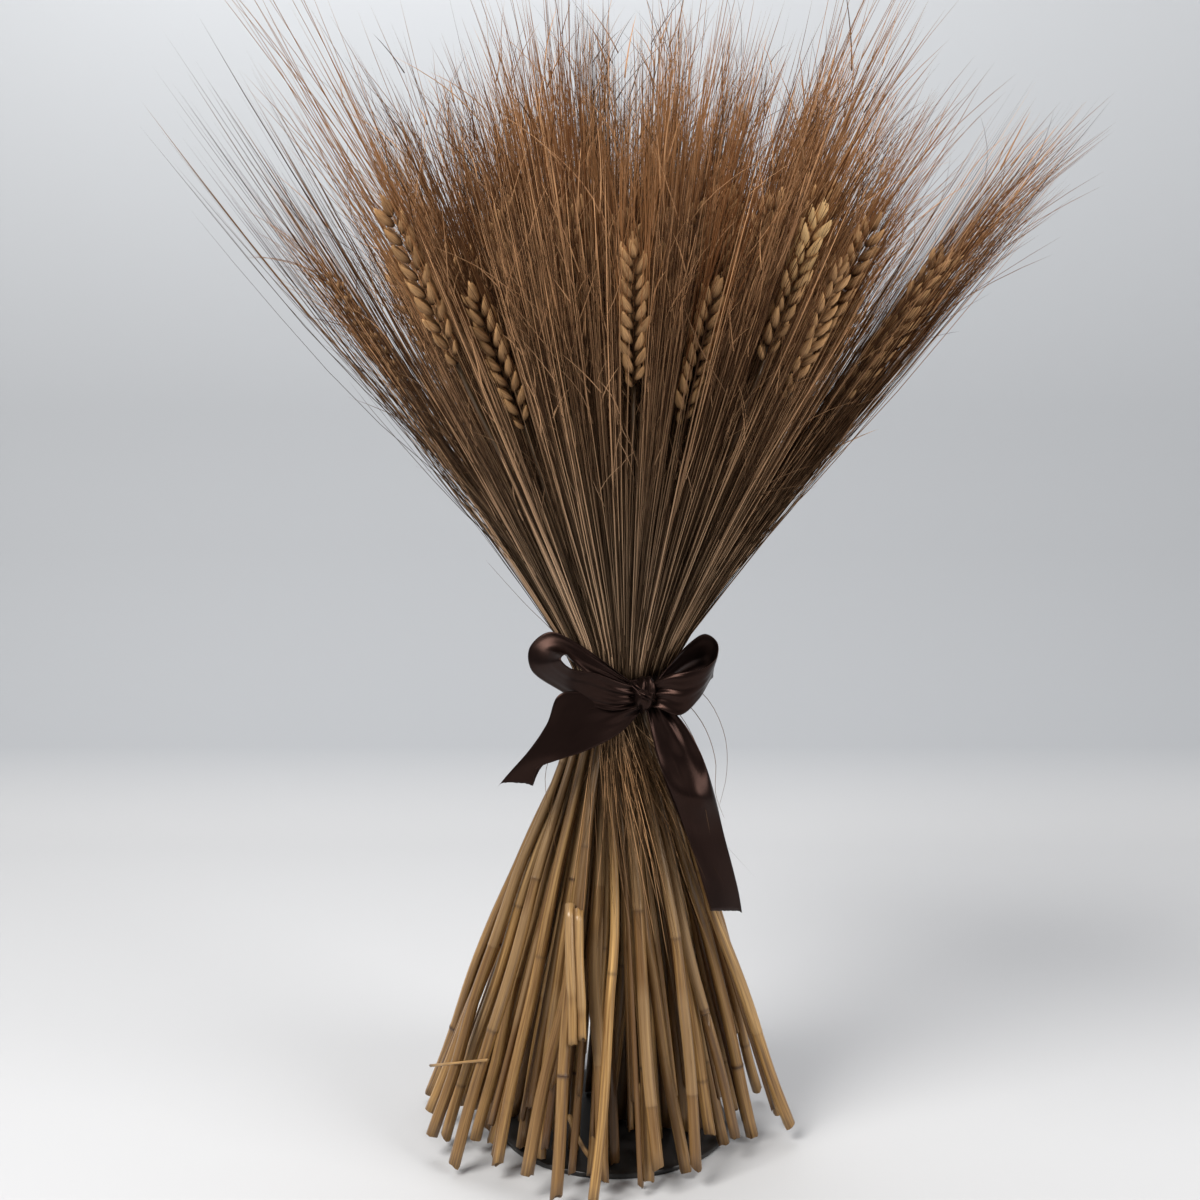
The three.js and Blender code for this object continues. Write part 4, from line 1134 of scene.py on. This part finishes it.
strand_paths = np.array([smooth_line(np.array(points) / 1000, 20) for points in loose])
fine_strands("loose_hairs", strand_paths, np.full(len(loose), 0.2), chance)

# ---- Ribbon ----
# One length of dark brown satin ribbon, 25 mm wide: it goes once round the tie, and ends in front
# in a knot with two loops and two tails. The satin is drawn into pleats where it enters the knot.
RIBBON_WIDTH = 0.0254
RIBBON_THICKNESS = 0.0004
ACROSS = 25  # points across the width
KNOT = np.array([0.016, -0.029, 0.257])


def two_faced(grid, fibre):
    """A thin closed cloth from a grid of points (rows, columns, 3): each face lies half the
    thickness from the grid along its normal, the crossed gradient, and a rim joins them."""
    rows, columns, _ = grid.shape
    normal = unit(np.cross(np.gradient(grid, axis=0), np.gradient(grid, axis=1)))
    half = normal * RIBBON_THICKNESS / 2
    points = np.concatenate([(grid + half).reshape(-1, 3), (grid - half).reshape(-1, 3)])
    index = np.arange(rows * columns).reshape(rows, columns)
    a, b, c, d = index[:-1, :-1], index[1:, :-1], index[1:, 1:], index[:-1, 1:]
    front = np.stack([a, b, c, d], -1).reshape(-1, 4)
    back = front[:, ::-1] + rows * columns
    loop = np.concatenate([index[0, :-1], index[:-1, -1], index[-1, :0:-1], index[:0:-1, 0]])
    ahead = np.roll(loop, -1)
    rim = np.stack([loop, ahead, ahead + rows * columns, loop + rows * columns], -1)
    fibre = np.tile(fibre.reshape(-1, 3), (2, 1))
    return {"points": points, "faces": [front, back, rim], "finish": 0, "fibre": fibre}


def strip(upper, lower, number, pleats, both_ends, humps=(), end_drop=None, fade_length=0.014, seed=1):
    """Ribbon between two edge lines, given in millimetres from the knot. Pleats run along it from
    the knot and fade out, as depth * exp(-distance / fade length) * sin(turns across the width).
    Each hump adds height * exp(-((run - place) / length) ** 2) * sin(half a turn over the width).
    The free end is torn: end_drop gives (share of the width, millimetres lower) points."""
    edge_a, edge_b = (smooth_line(np.array(edge) / 1000, number) + KNOT for edge in (upper, lower))
    across = np.linspace(0, 1, ACROSS)
    grid = edge_a[:, None] * (1 - across)[None, :, None] + edge_b[:, None] * across[None, :, None]
    middle = grid[:, ACROSS // 2]
    run = np.concatenate([[0], np.cumsum(np.linalg.norm(np.diff(middle, axis=0), axis=1))])
    normal = unit(np.cross(np.gradient(grid, axis=0), np.gradient(grid, axis=1)))
    distance = np.minimum(run, run[-1] - run) if both_ends else run
    fade = np.exp(-distance / fade_length)[:, None]
    chance = np.random.default_rng(seed)
    shift = chance.uniform(0, 6.3, 3)
    wave = 2 * np.pi * pleats * across
    folds = np.sin(wave + shift[0]) + 0.6 * np.sin(1.7 * wave + shift[1])
    depth = 0.0016 * fade * folds
    for height, at, length in humps:
        swell = np.exp(-(((run[:, None] - at) / length) ** 2))
        depth = depth + height * swell * np.sin(np.pi * across) ** 0.7
    depth = depth + 0.0003 * np.sin(run[:, None] / 0.009 + 4 * across + shift[2])
    grid = grid + normal * depth[:, :, None]
    if end_drop:
        at, lower_by = np.array(end_drop).T
        drop = np.interp(across, at, lower_by) / 1000 + 0.0004 * chance.random(ACROSS)
        last = np.clip((run - run[-1] + 0.012) / 0.012, 0, 1) ** 2
        grid[:, :, 2] -= last[:, None] * drop
    fibre = np.stack(np.broadcast_arrays(run[:, None], across * RIBBON_WIDTH, 0.01 * seed), -1)
    return two_faced(grid, fibre)


left_loop = strip(
    [
        (0, 0, 3), (-12, -7, 7), (-27, -12, 13), (-40, -14, 16), (-45, -12, 21),
        (-42, -9, 23), (-37, -6, 17), (-24, -4, 8), (-3, 0, 2),
    ],
    [
        (-1, 0, -6), (-18, -5, -8), (-33, -3, -4), (-46, 0, 2), (-62, 3, 13),
        (-63, 5, 25), (-52, 4, 34), (-36, 0, 28), (-5, 0, 5),
    ],
    97, 2.6, True, seed=1,
)
right_loop = strip(
    [
        (1, 0, 5), (14, -8, 12), (24, -11, 14), (34, -9, 16), (40, -4, 22),
        (40, 0, 29), (34, 3, 33), (25, 3, 28), (5, 0, 6),
    ],
    [
        (1, 0, -6), (9, -7, -7), (19, -10, -10), (30, -5, -2), (37, 4, 7),
        (39, 11, 8), (35, 14, 6), (26, 12, 3), (5, 2, -2),
    ],
    97, 2.6, True, seed=2,
)
left_tail = strip(
    [(0, 0, -1), (-25, -3, 1), (-46, -7, 1), (-53, -8, -15), (-63, -8, -30), (-80, -6, -49)],
    [(-1, 0, -9), (-12, -5, -20), (-30, -10, -29), (-45, -11, -34), (-59, -9, -39)],
    73, 1.8, False, seed=3,
    end_drop=[
        (0, 1), (0.1, 0), (0.35, 2), (0.55, 4.2), (0.75, 6.5),
        (0.9, 9), (0.93, 9.2), (0.96, 0.5), (1, 0),
    ],
)
right_tail = strip(
    [(8, 0, -2), (21, -5, -14), (31, -8, -31), (38, -8, -52), (46, -6, -84), (55, -3, -118)],
    [(1, 0, -3), (4, -6, -20), (7, -10, -32), (14, -12, -53), (27, -15, -85), (36, -18, -116)],
    97, 1.8, False, fade_length=0.02, seed=4,
    humps=[(-0.007, 0.058, 0.013), (0.0015, 0.036, 0.009)],
    end_drop=[(0, 4), (0.08, 2.5), (0.5, 1.2), (1, 0)],
)


def band_round_tie():
    """One turn of ribbon round the tie: a circle whose radius and edges ripple with the pleats."""
    turn = np.linspace(0, 2 * np.pi * 1.02, 241)[:, None]
    across = np.linspace(-1, 1, ACROSS)[None]
    at_tie = np.concatenate([knots[:, 2], knots[:, 3]])
    reach = np.hypot(*(at_tie - tie_middle)[:, :2].T).max() + TIE_RADIUS
    folds = np.sin(5 * across + 0.8 * np.sin(3 * turn)) + 0.5 * np.sin(11 * across - 2 * turn)
    radius = reach + 0.0006 + 0.00035 * (1 + folds) + 0.0006 * turn / 6.3
    start = np.arctan2(KNOT[1], KNOT[0] - tie_middle[0])
    x = tie_middle[0] + radius * np.cos(start + turn)
    y = radius * np.sin(start + turn)
    z = TIE_Z + 0.0092 * across + 0.0006 * np.sin(4 * turn)
    fibre = np.stack(np.broadcast_arrays(0.026 * turn, RIBBON_WIDTH / 2 * across, 0.05), -1)
    return two_faced(np.stack([x, y, z], -1), fibre)


def knot_wrap(tilt, wide, deep, tall, seed):
    """A turn of ribbon drawn over the middle of the bow, crumpled into creases that run over it. It
    is an oval of the sizes deep and tall, bulging at its middle, and tilted about the Y axis."""
    shift = np.random.default_rng(seed).uniform(0, 6.3, 4)
    turn = np.linspace(0, 2 * np.pi * 1.05, 121)[:, None]
    across = np.linspace(-1, 1, 33)[None]
    folds = np.sin(6.5 * across + 1.5 * np.sin(turn + shift[0]))
    folds = folds + 0.7 * np.sin(11 * across + 2.6 * turn + shift[1])
    folds = folds + 0.5 * np.sin(4.2 * turn + 3 * across + shift[2])
    bulge = np.sqrt(np.clip(1 - 0.75 * across**2, 0, 1)) * (1 + 0.1 * folds)
    away = wide * across * (1 + 0.15 * np.sin(2 * turn + shift[3])) + 0.0014 * np.sin(turn + shift[3])
    up = tall * bulge * np.sin(turn) + 0.0007 * np.sin(3 * turn + shift[0])
    x = KNOT[0] + away * np.cos(tilt) - up * np.sin(tilt)
    y = KNOT[1] - deep * bulge * np.cos(turn)
    z = KNOT[2] + away * np.sin(tilt) + up * np.cos(tilt)
    fibre = np.stack(np.broadcast_arrays(0.009 * turn, RIBBON_WIDTH / 2 * across, 0.07 * seed), -1)
    return two_faced(np.stack([x, y, z], -1), fibre)


satin, tree, shader = new_material(
    "Brown satin", IOR=1.46, Anisotropic=0.3,
    Specular_IOR_Level=0.3, Specular_Tint=(1.0, 0.56, 0.45, 1),
    Sheen_Weight=0.03, Sheen_Roughness=0.3, Sheen_Tint=(0.5, 0.32, 0.26, 1),
)
place = given(tree, "fibre", True)
scaled = node(tree, "Mapping", {"Vector": place, "Scale": (60.0, 4200.0, 1.0)}).outputs[0]
threads = noise(tree, scaled, 1.0, 2.0)
bump = node(tree, "Bump", {"Height": threads, "Distance": 0.00004, "Strength": 0.6})
tree.links.new(bump.outputs[0], shader.inputs["Normal"])
thread = ranged(tree, threads, 0.3, 0.7)
colour = blended(tree, thread, (0.003, 0.0017, 0.0015, 1), (0.006, 0.0033, 0.0029, 1))
tree.links.new(colour, shader.inputs["Base Color"])
tree.links.new(ranged(tree, threads, 0.2, 0.8, 0.26, 0.38), shader.inputs["Roughness"])
wraps = [knot_wrap(-0.3, 0.0056, 0.0074, 0.0098, 5), knot_wrap(0.75, 0.0030, 0.0086, 0.0086, 6)]
bow = [band_round_tie(), *wraps, left_loop, right_loop, left_tail, right_tail]
ribbon = new_piece("satin_ribbon", bow, [satin])
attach(ribbon, "root")
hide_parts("ribbon")

# ---- Floor and light ----
# A pale sweep of paper that lies flat and curves up behind the bundle, its colour graded as painted
# light and shade.
# A large soft lamp lights it from over the left front, and weaker ones from the right, from behind and
# all round.
SWEEP_FROM = 0.64  # how far behind the bundle's middle the paper starts to rise
SWEEP_ROUND = 0.5

turn = np.linspace(0.05, np.pi / 2, 16)
wall = SWEEP_FROM + SWEEP_ROUND
curve = SWEEP_FROM + SWEEP_ROUND * np.sin(turn)
slope = np.concatenate([np.linspace(-2.5, SWEEP_FROM, 12), curve, [wall, wall]])
height = np.concatenate([np.zeros(12), SWEEP_ROUND * (1 - np.cos(turn)), [1.5, 3.0]])
wide = np.array([-3.0, 3.0])
grid = np.stack(np.broadcast_arrays(wide[None], slope[:, None], height[:, None]), -1)
index = np.arange(grid.shape[0] * 2).reshape(-1, 2)
faces = np.stack([index[:-1, 0], index[:-1, 1], index[1:, 1], index[1:, 0]], -1)
paper, tree, shader = new_material("Pale paper", Roughness=0.9)
_, depth, height = node(tree, "SeparateXYZ", {0: node(tree, "TexCoord").outputs["Object"]}).outputs
# Painted light and shade on the paper: darker towards the back of the floor, darkest from 6 cm up the
# sweep, and lighter again above 30 cm up the wall.
colour = blended(tree, ranged(tree, depth, -0.3, 0.6), (0.565, 0.57, 0.58, 1), (0.475, 0.481, 0.491, 1))
colour = blended(tree, ranged(tree, height, 0.0, 0.06), colour, (0.345, 0.358, 0.377, 1))
colour = blended(tree, ranged(tree, height, 0.3, 1.1), colour, (0.457, 0.475, 0.497, 1))
tree.links.new(colour, shader.inputs["Base Color"])
floor = new_piece("floor", [{"points": grid.reshape(-1, 3), "faces": [faces], "finish": 0}], [paper])

world = bpy.data.worlds.new("Surround")
bpy.context.scene.world = world
world.use_nodes = True
world.node_tree.nodes["Background"].inputs["Color"].default_value = (0.86, 0.9, 0.96, 1)
world.node_tree.nodes["Background"].inputs["Strength"].default_value = 0.17
for name, place, size, power, tint in (
    ("over_left", (-1.65, -1.43, 2.6), 1.5, 120.0, (1.0, 0.975, 0.94)),
    ("right", (1.7, -1.0, 1.3), 1.2, 33.0, (1.0, 0.98, 0.96)),
    ("behind", (-0.2, 0.6, 1.7), 1.2, 13.0, (0.98, 0.98, 1.0)),
):
    lamp = bpy.data.lights.new(name, "AREA")
    lamp.size = size
    lamp.energy = power
    lamp.color = tint
    hung = bpy.data.objects.new(name, lamp)
    hung.location = place
    aim = np.array([0.0, 0.0, 0.35]) - np.array(place)
    hung.rotation_euler = Vector(aim).to_track_quat("-Z", "Y").to_euler()
    bpy.context.scene.collection.objects.link(hung)

bpy.context.scene.view_settings.view_transform = "Standard"
